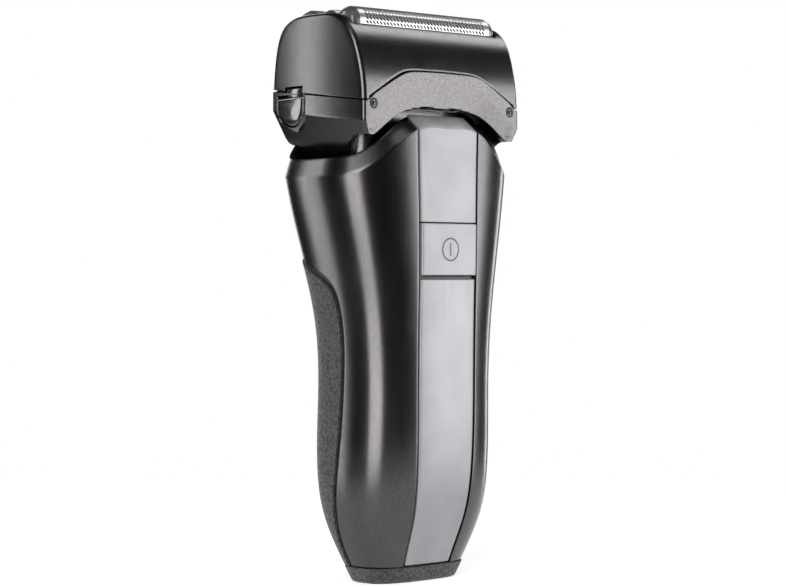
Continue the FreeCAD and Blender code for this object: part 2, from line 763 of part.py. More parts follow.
# ---------------------------------------------------------------- head pieces
def release_outline(side, grow, low_x, high_x):
    """Prism of a release button's outline: flat on top, rounded below, widened by grow."""
    y, half = dim("release_y"), dim("release_half") + grow
    low, high = dim("release_low") - grow, dim("release_high") + grow
    round_z = low + 0.62 * (high - low)
    points = [Vector(0, y - half, high), Vector(0, y - half, round_z), Vector(0, y + 0.5, low)]
    points += [Vector(0, y + half, round_z), Vector(0, y + half, high)]
    wire = Part.Wire([
        Part.LineSegment(points[0], points[1]).toShape(),
        Part.Arc(points[1], points[2], points[3]).toShape(),
        Part.LineSegment(points[3], points[4]).toShape(),
        Part.LineSegment(points[4], points[0]).toShape(),
    ])
    face = Part.Face(wire)
    face.translate(Vector(side * low_x, 0, 0))
    return face.extrude(Vector(side * (high_x - low_x), 0, 0))


def hook_box(side, grow, inner, outer, low, high):
    x = sorted((side * inner, side * outer))
    y, half = dim("release_y") - 1.2, dim("hook_half") + grow
    return box_between(x, (y - half, y + half), (low, high))


def pin_slot(x, y, radius):
    """The opening in the deck round a drive pin and its travel."""
    room, run = radius + 0.8, radius + dim("stroke") + 0.8
    return box_between((x - run, x + run), (y - room, y + room), (120, 150))


def pin_places():
    """The drive pins: their x, y and radius."""
    y, pitch = dim("head_y"), dim("row_pitch")
    return [
        (0.0, y - pitch, dim("drive_pin_r")),
        (0.0, y + pitch, dim("drive_pin_r")),
        (dim("trim_pin_x"), y, dim("trim_pin_r")),
    ]


def head_base():
    seam = below_seam()
    outer = head_form(0.0).common(seam).common(slab(118.0, 170))
    for tool in side_wedges() + leaning_faces() + [collar_room()]:
        outer = outer.cut(tool)
    lip = head_form(dim("seat")).common(below_seam(1.8)).common(slab(133.0, 170))
    body = outer.fuse(lip).cut(openings_front_back()).fuse(neck_core(0.0, 106.0, 134.0))
    hollow = head_form(dim("seat") + 1.2).common(slab(dim("deck_top"), 170))
    well = neck_core(dim("neck_skin"), 106.0, 134.0).common(slab(100, dim("deck_top") - dim("deck")))
    body = body.cut([hollow, well])
    body = body.cut([pin_slot(*place) for place in pin_places()])
    gap = dim("release_gap")
    for side in (-1, 1):
        start = Vector(side * 15, dim("head_y"), dim("tilt_z"))
        bore = Part.makeCylinder(dim("tilt_pin_r") + dim("run_gap"), 20, start, Vector(side, 0, 0))
        pocket = release_outline(side, gap, dim("pocket_in"), 40)
        notch = hook_box(side, gap, dim("pocket_in") + 1, 40, dim("release_high") - 1, 150)
        body = body.cut([bore, pocket, notch])
    return body.cut(catch_rods(dim("catch_r") + 0.45, 1.2, 5) + catch_rods(dim("catch_r"), 3.6, 5))


def catch_rods(radius, depth, outside):
    """Rods along Y at the four seam corners, from a depth inside the faces to a length outside them."""
    rods = []
    long, z = depth + outside, dim("catch_z")
    for x in (-dim("catch_x"), dim("catch_x")):
        front = Vector(x, dim("head_front") + depth, z)
        back = Vector(x, dim("head_back") - depth, z + dim("head_rise"))
        rods.append(Part.makeCylinder(radius, long, front, Vector(0, -1, 0)))
        rods.append(Part.makeCylinder(radius, long, back, Vector(0, 1, 0)))
    return rods


def row_slot(y, half):
    room, end = dim("slot_room"), dim("cap_end") + dim("slot_room")
    return box_between((-end, end), (y - half - room, y + half + room), (148.0, 170))


def foil_frame():
    shell = head_form(0.0).cut(head_form(dim("head_skin")).common(slab(90, 170)))
    shell = shell.cut(below_seam(0.12))
    y, pitch, foil, slit = dim("head_y"), dim("row_pitch"), dim("foil_half"), dim("slit_half")
    for centre, half in ((y - pitch, foil), (y, slit), (y + pitch, foil)):
        shell = shell.cut(row_slot(centre, half))
    for side in (-1, 1):
        shell = shell.cut(hook_box(side, 0.4, 24, 40, 120, dim("hook_top") + 0.4))
    return shell


def release_button(side):
    inner, top = dim("release_in"), dim("release_high")
    key = release_outline(side, 0.0, inner, 40).common(head_form(0.25))
    hook = hook_box(side, 0.0, inner, 40, top - 0.5, dim("hook_top")).common(head_form(0.8))
    return key.fuse(hook).removeSplitter()


def build_head():
    keep("head_base", feature("head_base_shell", head_base()))
    keep("foil_frame", feature("foil_frame_shell", foil_frame()))
    rods = catch_rods(dim("catch_r"), 3.6, -0.35)
    pins = [feature(f"catch_pin_{i}", shape) for i, shape in enumerate(rods)]
    keep("frame_catch_pins", group("frame_catch_pins_all", *pins))
    for name, side in (("left", -1), ("right", 1)):
        keep(f"release_button_{name}", feature(f"release_key_{name}", release_button(side)))
        spring = coil(1.7, 0.25, 0, dim("release_in") - dim("pocket_in"), 4, (0, 0))
        spring.rotate(Vector(), Vector(0, 1, 0), side * 90)
        spring.translate(Vector(side * dim("pocket_in"), dim("release_y"), 132.6))
        keep(f"release_spring_{name}", feature(f"release_coil_{name}", spring))


def build_motor():
    half, deep = "Dim.motor_half", "Dim.motor_deep"
    y, low, high = "Dim.head_y", "Dim.motor_low", "Dim.motor_high"
    outer = block("case_outer", (f"-{half}", half), (f"{y} - {deep}", f"{y} + {deep}"), (low, high))
    inner = block(
        "case_inner",
        (f"-{half} + 1", f"{half} - 1"),
        (f"{y} - {deep} + 1", f"{y} + {deep} - 1"),
        (f"{low} + 1", "150"),
    )
    keep("motor_case", cut("motor_case_tray", outer, inner))
    across = (f"{y} - Dim.core_deep", f"{y} + Dim.core_deep")
    legs = [
        block(f"core_leg_{i}", (f"{x} - 2.2", f"{x} + 2.2"), across, (f"{low} + 3", high))
        for i, x in enumerate(("-12", "0", "12"))
    ]
    yoke = block("core_yoke", ("-14.2", "14.2"), across, (f"{low} + 1", f"{low} + 3.5"))
    keep("motor_core", fuse("motor_core_stack", yoke, *legs))
    wound = block(
        "coil_outer",
        ("-7.2", "7.2"),
        (f"{y} - Dim.coil_deep", f"{y} + Dim.coil_deep"),
        (f"{low} + 3.8", f"{high} - 0.8"),
    )
    bobbin = block(
        "coil_inner",
        ("-2.3", "2.3"),
        (f"{y} - Dim.core_deep - 0.1", f"{y} + Dim.core_deep + 0.1"),
        ("100", "130"),
    )
    keep("motor_coil", cut("motor_coil_ring", wound, bobbin))
    seals = []
    for i, (x, py, radius) in enumerate(pin_places()):
        room, run = radius + 0.5, radius + dim("stroke") + 0.4
        outer_x, outer_y = (x - run - 1, x + run + 1), (py - room - 0.7, py + room + 0.7)
        pad = box_between(outer_x, outer_y, (dim("deck_top"), dim("deck_top") + 0.8))
        gap = box_between((x - run, x + run), (py - room, py + room), (100, 150))
        seals.append(feature(f"drive_seal_{i}", pad.cut(gap)))
    keep("drive_seals", group("drive_seals_all", *seals))


# ---------------------------------------------------------------- drives and cutting rows
def build_drive(name, side):
    """One mover with its magnets, pin and spring. The front one also drives the middle trimmer."""
    y = "Dim.head_y"
    near, far = (f"{y} + ({side}) * Dim.mover_apart", f"{y} + ({side}) * Dim.mover_deep")
    wide = (far, near) if side < 0 else (near, far)
    right = "Dim.mover_half" if side < 0 else "Dim.mover_half - 7"
    x = ("-Dim.mover_half", right)
    thick = ("Dim.mover_low", "Dim.mover_high")
    mover = block(f"{name}_plate", x, wide, thick)
    pitch = f"{y} + ({side}) * Dim.row_pitch"
    if side < 0:
        tab = block(f"{name}_tab", ("8", "Dim.mover_half"), (f"{y} - Dim.mover_apart", f"{y} + 1.8"), thick)
        mover = fuse(f"{name}_mover_whole", mover, tab)
    keep(f"{name}_mover", mover)
    magnets = [
        block(f"{name}_magnet_{i}", (a, b), wide, ("Dim.magnet_low", "Dim.yoke_low"))
        for i, (a, b) in enumerate((("-11", "-4.4"), ("-3.6", "4.2")))
    ]
    keep(f"{name}_magnets", group(f"{name}_magnets_pair", *magnets))
    keep(f"{name}_yoke", block(f"{name}_yoke_plate", x, wide, ("Dim.yoke_low", "Dim.mover_low")))
    r = "Dim.drive_pin_r"
    shaft = rod(f"{name}_shaft", r, ("0", pitch, "Dim.mover_high"), "Dim.pin_top - Dim.mover_high")
    flange = rod(f"{name}_flange", f"{r} + 1.4", ("0", pitch, "Dim.deck_top + 1.6"), "0.8")
    pin = fuse(f"{name}_pin_whole", shaft, flange)
    if side < 0:
        place = ("Dim.trim_pin_x", y, "Dim.mover_high")
        trim = rod("trim_shaft", "Dim.trim_pin_r", place, "Dim.pin_top - Dim.mover_high")
        keep("trimmer_drive_pin", trim)
    keep(f"{name}_drive_pin", pin)
    centre = (0, dim("head_y") + side * dim("row_pitch"))
    spring = coil(dim("drive_pin_r") + 0.55, 0.22, dim("deck_top") + 2.4, dim("holder_low"), 4, centre)
    keep(f"{name}_blade_spring", feature(f"{name}_blade_coil", spring))


def build_row(name, centre, half, wall):
    """One cassette of the cutting head: a foil and its end caps, with the inner blades and their holder."""
    end, top = dim("foil_end"), dim("ridge") - (0.5 if name == "middle" else 0.0)
    foot, cap_end = dim("foil_foot"), dim("cap_end")
    outer = arch_bar(half, top, foot, -end, end, centre)
    inner = arch_bar(half - wall, top - wall, foot - 1, -end - 1, end + 1, centre)
    foil = outer.cut(inner)
    if name == "middle":
        across, deep = (centre - half, centre + half), (top - 1.1, top + 1)
        foil = foil.cut([box_between((x - 0.35, x + 0.35), across, deep) for x in slit_places()])
    keep(f"{name}_foil", feature(f"{name}_foil_sheet", foil))
    caps = []
    for i, (low, high) in enumerate(((-cap_end, -end), (end, cap_end))):
        cap = arch_bar(half, top - 0.1, dim("cap_foot"), low, high, centre)
        flange_y = (centre - half - 0.5, centre + half + 0.5)
        flange = box_between((low, high), flange_y, (dim("cap_foot"), 150.2))
        caps.append(feature(f"{name}_cap_{i}", cap.fuse(flange).removeSplitter()))
    keep(f"{name}_foil_caps", group(f"{name}_foil_caps_pair", *caps))

    build_blade(name, centre, half - wall - dim("blade_gap"), top - wall - dim("blade_gap"))


def build_blade(name, centre, half, top):
    """The comb of blade ribs that runs under a foil, and the holder that its drive pin moves."""
    long, low, high = dim("blade_half"), dim("holder_low"), dim("holder_high")
    count, rib = 25, 0.4
    ribs = []
    for i in range(count):
        x = -long + i * (2 * long - rib) / (count - 1)
        ribs.append(arch_bar(half, top, high, x, x + rib, centre))
    narrow = min(half - 0.5, dim("holder_half"))
    spine = box_between((-long, long), (centre - narrow, centre + narrow), (high, high + 1.2))
    comb = spine.multiFuse(ribs).removeSplitter()
    keep(f"{name}_inner_blade", feature(f"{name}_blade_comb", comb))
    if name == "middle":
        deep, pin_x, pin_r = dim("trim_holder_half"), dim("trim_pin_x"), dim("trim_pin_r")
    else:
        deep, pin_x, pin_r = dim("holder_half"), 0.0, dim("drive_pin_r")
    holder = box_between((-long, long), (centre - deep, centre + deep), (low, high))
    pocket = Part.makeCylinder(pin_r + dim("run_gap"), 6.6, Vector(pin_x, centre, low))
    keep(f"{name}_blade_holder", feature(f"{name}_holder_bar", holder.cut(pocket)))


def slit_places():
    """Centres of the middle trimmer's slits along X."""
    count = 22
    return [-21.0 + i * 2.0 for i in range(count)]


def build_rows():
    y, pitch, wall = dim("head_y"), dim("row_pitch"), dim("foil_wall")
    build_row("front", y - pitch, dim("foil_half"), wall)
    build_row("middle", y, dim("slit_half"), wall + 0.1)
    build_row("rear", y + pitch, dim("foil_half"), wall)


# ---------------------------------------------------------------- build, check and write
def check_document():
    """Stops before anything is written if an object failed or a piece is not a good solid."""
    for thing in doc.Objects:
        if any(state in thing.State for state in ("Invalid", "Error")):
            raise RuntimeError(f"{thing.Name} failed: {thing.State}")
    for node, thing in made.items():
        shape = thing.Shape
        if shape.isNull() or not shape.isValid() or not shape.Solids:
            raise RuntimeError(f"{node} is not a valid solid")


def main():
    fill_sheet()
    build_handle()
    build_power()
    build_screws()
    build_tilt()
    build_head()
    build_motor()
    build_drive("front", -1)
    build_drive("rear", 1)
    build_rows()
    doc.recompute()
    check_document()
    os.makedirs("parts", exist_ok=True)
    for node, thing in made.items():
        thing.Shape.exportStep(os.path.join("parts", node + ".step"))
        print(f"{node}: {len(thing.Shape.Solids)} solids, {thing.Shape.Volume:.1f} mm3")


main()
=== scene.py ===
"""Looks of a foil shaver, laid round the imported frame. The helpers take millimetres and build in metres."""
import json
import math

import bmesh
import bpy
import numpy as np
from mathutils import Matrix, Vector


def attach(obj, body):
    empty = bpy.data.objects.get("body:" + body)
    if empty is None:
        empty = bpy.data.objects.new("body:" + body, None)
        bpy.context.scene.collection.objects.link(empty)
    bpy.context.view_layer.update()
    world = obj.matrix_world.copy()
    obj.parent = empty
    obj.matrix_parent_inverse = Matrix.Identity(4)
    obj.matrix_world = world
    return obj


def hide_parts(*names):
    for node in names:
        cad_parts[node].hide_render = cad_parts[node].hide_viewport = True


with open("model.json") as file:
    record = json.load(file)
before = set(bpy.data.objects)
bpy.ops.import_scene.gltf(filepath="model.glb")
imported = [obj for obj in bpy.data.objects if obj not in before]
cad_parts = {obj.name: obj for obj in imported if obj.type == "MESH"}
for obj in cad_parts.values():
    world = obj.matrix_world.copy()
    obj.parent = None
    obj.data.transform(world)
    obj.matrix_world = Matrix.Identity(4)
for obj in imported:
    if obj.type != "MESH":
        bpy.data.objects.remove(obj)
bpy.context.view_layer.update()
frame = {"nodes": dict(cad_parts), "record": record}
NODES = frame["nodes"]
MM = 0.001

# ---------------- driving dimensions, in millimetres
OVAL = 3.0  # exponent of the handle's oval sections
# handle sections: level, half width, half depth, centre in Y
SECTIONS = np.array([
    (0, 15.9, 8.2, -1.6),
    (8, 20.1, 10.9, -1.6),
    (18, 23.5, 14.9, -1.5),
    (32, 24.9, 17.5, -1.4),
    (55, 24.7, 17.8, -1.8),
    (75, 26.0, 18.2, -1.6),
    (95, 29.6, 20.3, 0.2),
    (116, 33.5, 21.9, 1.9),
    (134, 35.3, 22.2, 2.1),
])
RING_TOP = 4.4
RIM_FRONT, RIM_SIDE = 131.2, 118.6
RIM_SHAPE = [(0, 0), (10, 0.02), (16, 0.19), (22, 0.52), (27, 0.80), (31.5, 0.97), (40, 1.06)]
STRIP_HALF, STRIP_GAP = 10.6, 0.8
STRIP_SHAPE = [(0, -2.6), (20, -0.9), (45, -0.15), (95, 0.0), (116, 0.35), (136, 0.8)]
BUTTON_LOW, BUTTON_HIGH = 86.4, 100.9
JOINT_LINE = [
    (-0.8, 0), (0.5, 12), (0.0, 24), (-2.4, 42), (-3.6, 58),
    (-4.0, 75), (-1.2, 84.2), (6.0, 88.6), (18.0, 94.6), (40.0, 104.0),
]
BEND_LEVEL = 82.0  # where the joint turns towards the back
GRIP_CORNER = 78  # level of the grip's upper front corner
HEAD_Y = 1.2
HEAD_HALF, HEAD_BULGE = 30.2, 1.4
HEAD_FRONT, HEAD_BACK = -17.8, 20.8
HEAD_MIDDLE = (HEAD_FRONT + HEAD_BACK) / 2
HEAD_RISE = 4.4  # how much higher the seam is at the back
SIDE_CREASE, SIDE_LEAN = 128.6, 0.0160  # level of the side's crease, and lean per millimetre below it
RIM_ROOM = 0.9
ROW_PITCH, RIDGE, FOIL_FOOT, FOIL_HALF, FOIL_END, CAP_END = 8.0, 161.0, 151.2, 4.1, 25.4, 28.0
SLIT_HALF, SLIT_DROP = 2.4, 0.5
SLOT_ROOM = 0.3
# share of a cap's full section at each inset from its outer end
CAP_PROFILE = [
    (2.7, 0.3), (2.7, 1.0), (2.35, 1.0), (2.25, 0.955), (2.1, 0.95), (1.6, 0.945), (1.1, 0.92),
    (0.65, 0.87), (0.3, 0.79), (0.08, 0.68), (0.0, 0.55), (0.0, 0.25), (0.0, 0.0),
]
RELEASE_Y, RELEASE_HALF, RELEASE_LOW, RELEASE_HIGH = 11.6, 5.4, 128.2, 136.1
KEY_TAPER_FROM, KEY_TAPER = 130.0, 0.45  # the keys draw in by this much per millimetre below the level
HOOK_Y, HOOK_HALF, HOOK_TOP = 10.4, 3.6, 138.9
CATCH_X, CATCH_Z = 26.7, 133.4
# radius, and height over the head's face, of a catch's socket and pin; the socket is drawn as a black ring a
# little proud of the face instead of a recess, its black being painted shade of the recess round the pin
SOCKET_SHADE_RING = [(0.8, -0.5), (0.8, 0.02), (0.9, 0.12), (1.4, 0.12), (1.55, 0.0), (1.55, -0.5)]
PIN = [(0.0, 0.3), (0.45, 0.3), (0.62, 0.16), (0.62, -0.5), (0.0, -0.5)]


# ---------------- curves
def spline(knots, values):
    """A natural cubic through the knots, as a function of an array."""
    x, y = np.asarray(knots, float), np.asarray(values, float)
    n = len(x)
    h = np.diff(x)
    system, right = np.eye(n), np.zeros(n)
    for i in range(1, n - 1):
        system[i, i - 1 : i + 2] = h[i - 1], 2 * (h[i - 1] + h[i]), h[i]
        right[i] = 6 * ((y[i + 1] - y[i]) / h[i] - (y[i] - y[i - 1]) / h[i - 1])
    bend = np.linalg.solve(system, right)

    def at(v):
        v = np.asarray(v, float)
        i = np.clip(np.searchsorted(x, v) - 1, 0, n - 2)
        a, b = (x[i + 1] - v) / h[i], (v - x[i]) / h[i]
        curve = ((a**3 - a) * bend[i] + (b**3 - b) * bend[i + 1]) * h[i] ** 2 / 6
        return a * y[i] + b * y[i + 1] + curve

    return at


def length_along(*steps):
    """Length from the start of a path to each of its points, from its steps in each direction."""
    return np.concatenate([[0], np.cumsum(np.hypot(*steps))])


def smooth(low, high, v):
    """0 below low, 1 above high, and a smooth step between."""
    t = np.clip((np.asarray(v, float) - low) / (high - low), 0, 1)
    return t * t * (3 - 2 * t)


width_at = spline(SECTIONS[:, 0], SECTIONS[:, 1])
depth_at = spline(SECTIONS[:, 0], SECTIONS[:, 2])
centre_at = spline(SECTIONS[:, 0], SECTIONS[:, 3])
strip_grow = spline(*zip(*STRIP_SHAPE))
rim_share = spline(*zip(*RIM_SHAPE))


def rim_height(x):
    return RIM_FRONT - (RIM_FRONT - RIM_SIDE) * rim_share(np.abs(x))


def superoval(turn, half_x, half_y, middle, power):
    """x and y round an oval with squared-off corners, from the front centre round +X."""
    s, c = np.sin(turn), np.cos(turn)
    reach = (np.abs(s) ** power + np.abs(c) ** power) ** (-1 / power)
    return half_x * reach * s, middle - half_y * reach * c


def handle_point(turn, z):
    """A point of the handle's form: turn runs from 0 at the front centre round +X to pi at the back."""
    x, y = superoval(turn, width_at(z), depth_at(z), centre_at(z), OVAL)
    return np.stack([x, y, z], -1)


def handle_normal(turn, z):
    step = 1e-3
    across = handle_point(turn + step, z) - handle_point(turn - step, z)
    along = handle_point(turn, z + step) - handle_point(turn, z - step)
    n = np.cross(across, along)
    return n / np.linalg.norm(n, axis=-1, keepdims=True)


def turn_at_x(x, z):
    """The turn of the front point with this x."""
    u = np.clip(x / width_at(z), 0, 1)
    return np.arctan2(u, (1 - u**OVAL) ** (1 / OVAL))


def turn_at_y(y, z):
    """The turn of the side point with this y."""
    v = np.clip((centre_at(z) - y) / depth_at(z), -1, 1)
    return np.arctan2((1 - np.abs(v) ** OVAL) ** (1 / OVAL), v)


def bevel_size(x):
    """Height and lean of the bevel under the rim: lower, and leaning more, at the front and back."""
    front = 1 - smooth(10.5, 23.0, np.abs(x))
    return 5.2 - 1.4 * front, 2.2 + 2.6 * front


def bevel_inset(turn, z):
    """How far the surface leans in within the bevel under the rim."""
    x = handle_point(turn, z)[..., 0]
    tall, lean = bevel_size(x)
    return lean * np.clip(1 - (rim_height(x) - z) / tall, 0, 1.2)


def skin_point(turn, z, proud=0.0):
    p = handle_point(turn, z)
    n = handle_normal(turn, z)
    return p + n * proud - n * bevel_inset(turn, z)[..., None]


# ---------------- mesh helpers
def add_object(name, data):
    obj = bpy.data.objects.new(name, data)
    bpy.context.scene.collection.objects.link(obj)
    return obj


def make_object(name, verts, faces):
    """A mesh object from millimetre points."""
    mesh = bpy.data.meshes.new(name)
    mesh.from_pydata([tuple(float(c) * MM for c in v) for v in verts], [], faces)
    mesh.update()
    return add_object(name, mesh)


def grid_faces(rows, columns, start=0, skip=None, closed=False):
    """Quads between points laid out row by row."""
    faces = []
    last = columns if closed else columns - 1
    for r in range(rows - 1):
        for c in range(last):
            if skip and skip(r, c):
                continue
            d = (c + 1) % columns
            a, b = start + r * columns + c, start + r * columns + d
            faces.append((a, b, b + columns, a + columns))
    return faces


def grids_object(name, grids, inside=None, mirror=False, weld=2e-3, skip=None):
    """One object from point grids that faces away from inside; mirror adds the other side of X = 0."""
    verts, faces = [], []
    for grid in grids:
        rows, columns = grid.shape[:2]
        faces += grid_faces(rows, columns, len(verts), skip)
        verts += list(grid.reshape(-1, 3))
    if mirror:
        count = len(verts)
        verts += [(-v[0], v[1], v[2]) for v in verts]
        faces += [tuple(count + i for i in reversed(f)) for f in faces]
    obj = clean_mesh(make_object(name, verts, faces), weld)
    return face_outward(obj, inside) if inside else obj


def ring_grid(rings):
    """A grid from closed rings of points, with the first point of each ring repeated at its end."""
    grid = np.array(rings)
    return np.concatenate([grid, grid[:, :1]], axis=1)


def clean_mesh(obj, weld=None):
    """Welds points that are closer than weld, and turns all faces the same way out."""
    bm = bmesh.new()
    bm.from_mesh(obj.data)
    if weld:
        bmesh.ops.remove_doubles(bm, verts=bm.verts, dist=weld * MM)
    bmesh.ops.recalc_face_normals(bm, faces=bm.faces)
    bm.to_mesh(obj.data)
    bm.free()
    return obj


def face_outward(obj, away_from):
    """Flips the mesh if its faces look towards a point inside it, in millimetres."""
    centre = Vector(away_from) * MM
    total = sum((p.center - centre).dot(p.normal) * p.area for p in obj.data.polygons)
    if total < 0:
        obj.data.flip_normals()
    return obj


def apply_modifiers(obj):
    """Replaces the mesh by what its modifiers make of it."""
    bpy.context.view_layer.update()
    done = obj.evaluated_get(bpy.context.evaluated_depsgraph_get())
    old, mesh = obj.data, bpy.data.meshes.new_from_object(done)
    obj.modifiers.clear()
    obj.data = mesh
    bpy.data.meshes.remove(old)
    return obj


def add_modifier(obj, name, kind, **settings):
    modifier = obj.modifiers.new(name, kind)
    for key, value in settings.items():
        setattr(modifier, key, value)


def shade(obj, angle=35):
    """Smooth shading with a sharp edge wherever faces meet at more than the angle."""
    bm = bmesh.new()
    bm.from_mesh(obj.data)
    for f in bm.faces:
        f.smooth = True
    for e in bm.edges:
        e.smooth = len(e.link_faces) != 2 or e.calc_face_angle(0) <= math.radians(angle)
    bm.to_mesh(obj.data)
    bm.free()
    return obj


def thicken(obj, thickness, bevel=0.3, segments=3, angle=35, cuts=()):
    """Gives an outer skin its wall, cuts recesses in it, and rounds its edges."""
    wall = thickness * MM
    add_modifier(obj, "wall", "SOLIDIFY", thickness=wall, offset=-1, use_even_offset=True)
    apply_modifiers(obj)
    for tool in cuts:
        add_modifier(obj, "cut", "BOOLEAN", operation="DIFFERENCE", solver="EXACT", object=tool)
    if cuts:
        apply_modifiers(obj)
        for tool in cuts:
            bpy.data.objects.remove(tool)
    if bevel:
        round_edges(obj, bevel, segments, angle)
    return shade(obj)


def round_edges(obj, width, segments=3, angle=35):
    limit = {"limit_method": "ANGLE", "angle_limit": math.radians(angle)}
    corners = {"use_clamp_overlap": True, "miter_outer": "MITER_ARC"}
    add_modifier(obj, "edges", "BEVEL", width=width * MM, segments=segments, **limit, **corners)
    return apply_modifiers(obj)


def coons(left, right, bottom, top):
    """Points inside four rows of (turn, level) pairs: left and right run up, bottom and top run across."""
    v = np.linspace(0, 1, len(left))[:, None, None]
    u = np.linspace(0, 1, len(bottom))[None, :, None]
    edges = (1 - u) * left[:, None] + u * right[:, None] + (1 - v) * bottom[None] + v * top[None]
    corners = (1 - u) * (1 - v) * bottom[0] + u * (1 - v) * bottom[-1]
    corners = corners + (1 - u) * v * top[0] + u * v * top[-1]
    return edges - corners


def spread(points, count):
    """A number of (turn, level) points along a dense path, evenly spaced on the handle."""
    points = np.asarray(points, float)
    place = handle_point(points[:, 0], points[:, 1])
    step = np.linalg.norm(np.diff(place, axis=0), axis=1)
    run = np.concatenate([[0], np.cumsum(step)])
    at = np.linspace(0, run[-1], count)
    return np.stack([np.interp(at, run, points[:, i]) for i in (0, 1)], -1)


# ---------------- handle boundaries
def strip_edge(margin, low, high, count=120):
    """The strip's side edge between two levels."""
    z = np.linspace(low, high, count)
    return np.stack([turn_at_x(STRIP_HALF + strip_grow(z) + margin, z), z], -1)


def rim_levels(turn, below):
    """Levels that stay a share (0 = the rim, 1 = the bevel's lower edge) below the rim."""
    z = np.full(len(turn), 122.0)
    for _ in range(30):
        x = handle_point(turn, z)[:, 0]
        z = 0.5 * z + 0.5 * (rim_height(x) - below * bevel_size(x)[0])
    return z


def rim_line(start_turn, end_turn, below, count=160):
    turn = np.linspace(start_turn, end_turn, count)
    return np.stack([turn, rim_levels(turn, below)], -1)


def joint_curve(shift, low, count=200):
    """The line between the housing and the grip, from the foot to the back centre, moved back by shift."""
    y, z = np.array(JOINT_LINE, float).T
    run = length_along(np.diff(y), np.diff(z))
    at_y, at_z = spline(run, y), spline(run, z)
    s = np.linspace(0, run[-1], 1500)
    ys, zs = at_y(s) + shift, at_z(s) - shift
    keep = (zs >= low) & (ys <= centre_at(zs) + depth_at(zs))
    ys, zs = ys[keep], zs[keep]
    line = np.stack([turn_at_y(ys, zs), zs], -1)
    back = np.array([[math.pi, zs[-1]]])
    pick = np.linspace(0, len(line) - 1, count).astype(int)
    first = np.array([[turn_at_y(np.interp(low, zs, ys), low), low]])
    return np.concatenate([first, line[pick], back])


def to_skin(grid, proud=0.0):
    return skin_point(grid[..., 0], grid[..., 1], proud)


def level_line(a, b, count=60):
    """A straight run between two (turn, level) points."""
    return np.linspace(a, b, count)


# ---------------- handle pieces
def make_housing():
    """The housing's shell: a column beside the strip, the shoulder above it, and the rim's bevel."""
    low = RING_TOP + 0.3
    joint = joint_curve(0.0, low)
    bend = int(np.argmin(np.abs(joint[:, 1] - BEND_LEVEL)))
    start = rim_line(turn_at_x(11.4 + STRIP_GAP, 126.0), math.pi, 1.0)[0]
    strip = strip_edge(STRIP_GAP, low, start[1])
    fork = int(np.argmin(np.abs(strip[:, 1] - BEND_LEVEL)))
    middle_turn = joint[bend, 0]
    edge = [
        spread(rim_line(strip[-1, 0], middle_turn, 1.0), 45),
        spread(rim_line(middle_turn, math.pi, 1.0), 60)[1:],
    ]
    edge = np.concatenate(edge)
    strip[-1] = edge[0]
    across = spread(level_line(strip[fork], joint[bend]), 45)
    column = coons(
        spread(strip[: fork + 1], 120),
        spread(joint[: bend + 1], 120),
        spread(level_line(strip[0], joint[0]), 45),
        across,
    )
    shoulder = coons(
        spread(strip[fork:], 70),
        spread(level_line(joint[-1], edge[-1]), 70),
        np.concatenate([across, spread(joint[bend:], 60)[1:]]),
        edge,
    )
    rim = np.stack([edge[:, 0], rim_levels(edge[:, 0], 0.0)], -1)
    bevel = coons(
        spread(level_line(edge[0], rim[0]), 8),
        spread(level_line(edge[-1], rim[-1]), 8),
        edge,
        rim,
    )
    skins = [to_skin(patch) for patch in (column, shoulder, bevel)]
    obj = grids_object("housing_shell", skins, (0, 0, 70), mirror=True, weld=0.02)
    return thicken(obj, 1.8, bevel=0.35, angle=40)


def make_grip():
    low = RING_TOP + 0.35
    joint = joint_curve(1.4, low)
    corner = int(np.argmin(np.abs(joint[:, 1] - GRIP_CORNER)))
    grid = coons(
        spread(joint[: corner + 1], 150),
        spread(level_line([math.pi, low], joint[-1]), 150),
        spread(level_line(joint[0], [math.pi, low]), 70),
        spread(joint[corner:], 70),
    )
    obj = grids_object("grip_skin", [to_skin(grid, 0.25)], (0, 0, 50), mirror=True, weld=0.02)
    return thicken(obj, 0.9, bevel=0.42, segments=4)


def make_backing():
    """The rear cover's edge, seen as the floor of the groove beside the grip."""
    low = RING_TOP + 0.35
    inner, outer = joint_curve(4.5, low), joint_curve(-0.6, low)
    rows = [to_skin(line, -0.75) for line in (outer, inner)]
    obj = grids_object("groove_floor", [np.array(rows)], (0, 0, 50), mirror=True, weld=0.02)
    return thicken(obj, 0.6, bevel=0)


def strip_grid(margin, low, high, proud, rows, columns=25):
    """A patch of the front strip between two levels, as points on the handle's skin."""
    z = np.linspace(low, high, rows)
    share = np.linspace(-1, 1, columns)
    half = STRIP_HALF + strip_grow(z) + margin
    x = half[:, None] * share[None, :]
    zz = np.repeat(z[:, None], columns, 1)
    turn = np.sign(x) * turn_at_x(np.abs(x), zz)
    return skin_point(turn, zz, proud)


def make_plate(name, low, high, proud, thickness, bevel, rows):
    facet = RIM_FRONT - bevel_size(0)[0]
    if high > facet:
        below = strip_grid(0.0, low, facet, proud, rows)
        above = strip_grid(0.0, facet, high, proud, 6)
        grids = [below, above]
    else:
        grids = [strip_grid(0.0, low, high, proud, rows)]
    obj = grids_object(name, grids, (0, 0, (low + high) / 2))
    thicken(obj, thickness, bevel=bevel, segments=3, angle=50)
    return shade(obj, 20)


def ring_mesh(name, centre_z, radius, width, proud, thick, count=48, arc=(0, 360)):
    """A flat ring laid on the front skin."""
    turns = np.radians(np.linspace(arc[0], arc[1], count + 1))
    rows = []
    for r, lift in ((radius - width / 2, proud - thick), (radius - width / 2, proud),
                    (radius + width / 2, proud), (radius + width / 2, proud - thick)):
        x, z = r * np.sin(turns), centre_z + r * np.cos(turns)
        turn = np.sign(x) * turn_at_x(np.abs(x), z)
        rows.append(skin_point(turn, z, lift))
    return grids_object(name, [np.array(rows)], (0, 0, centre_z))


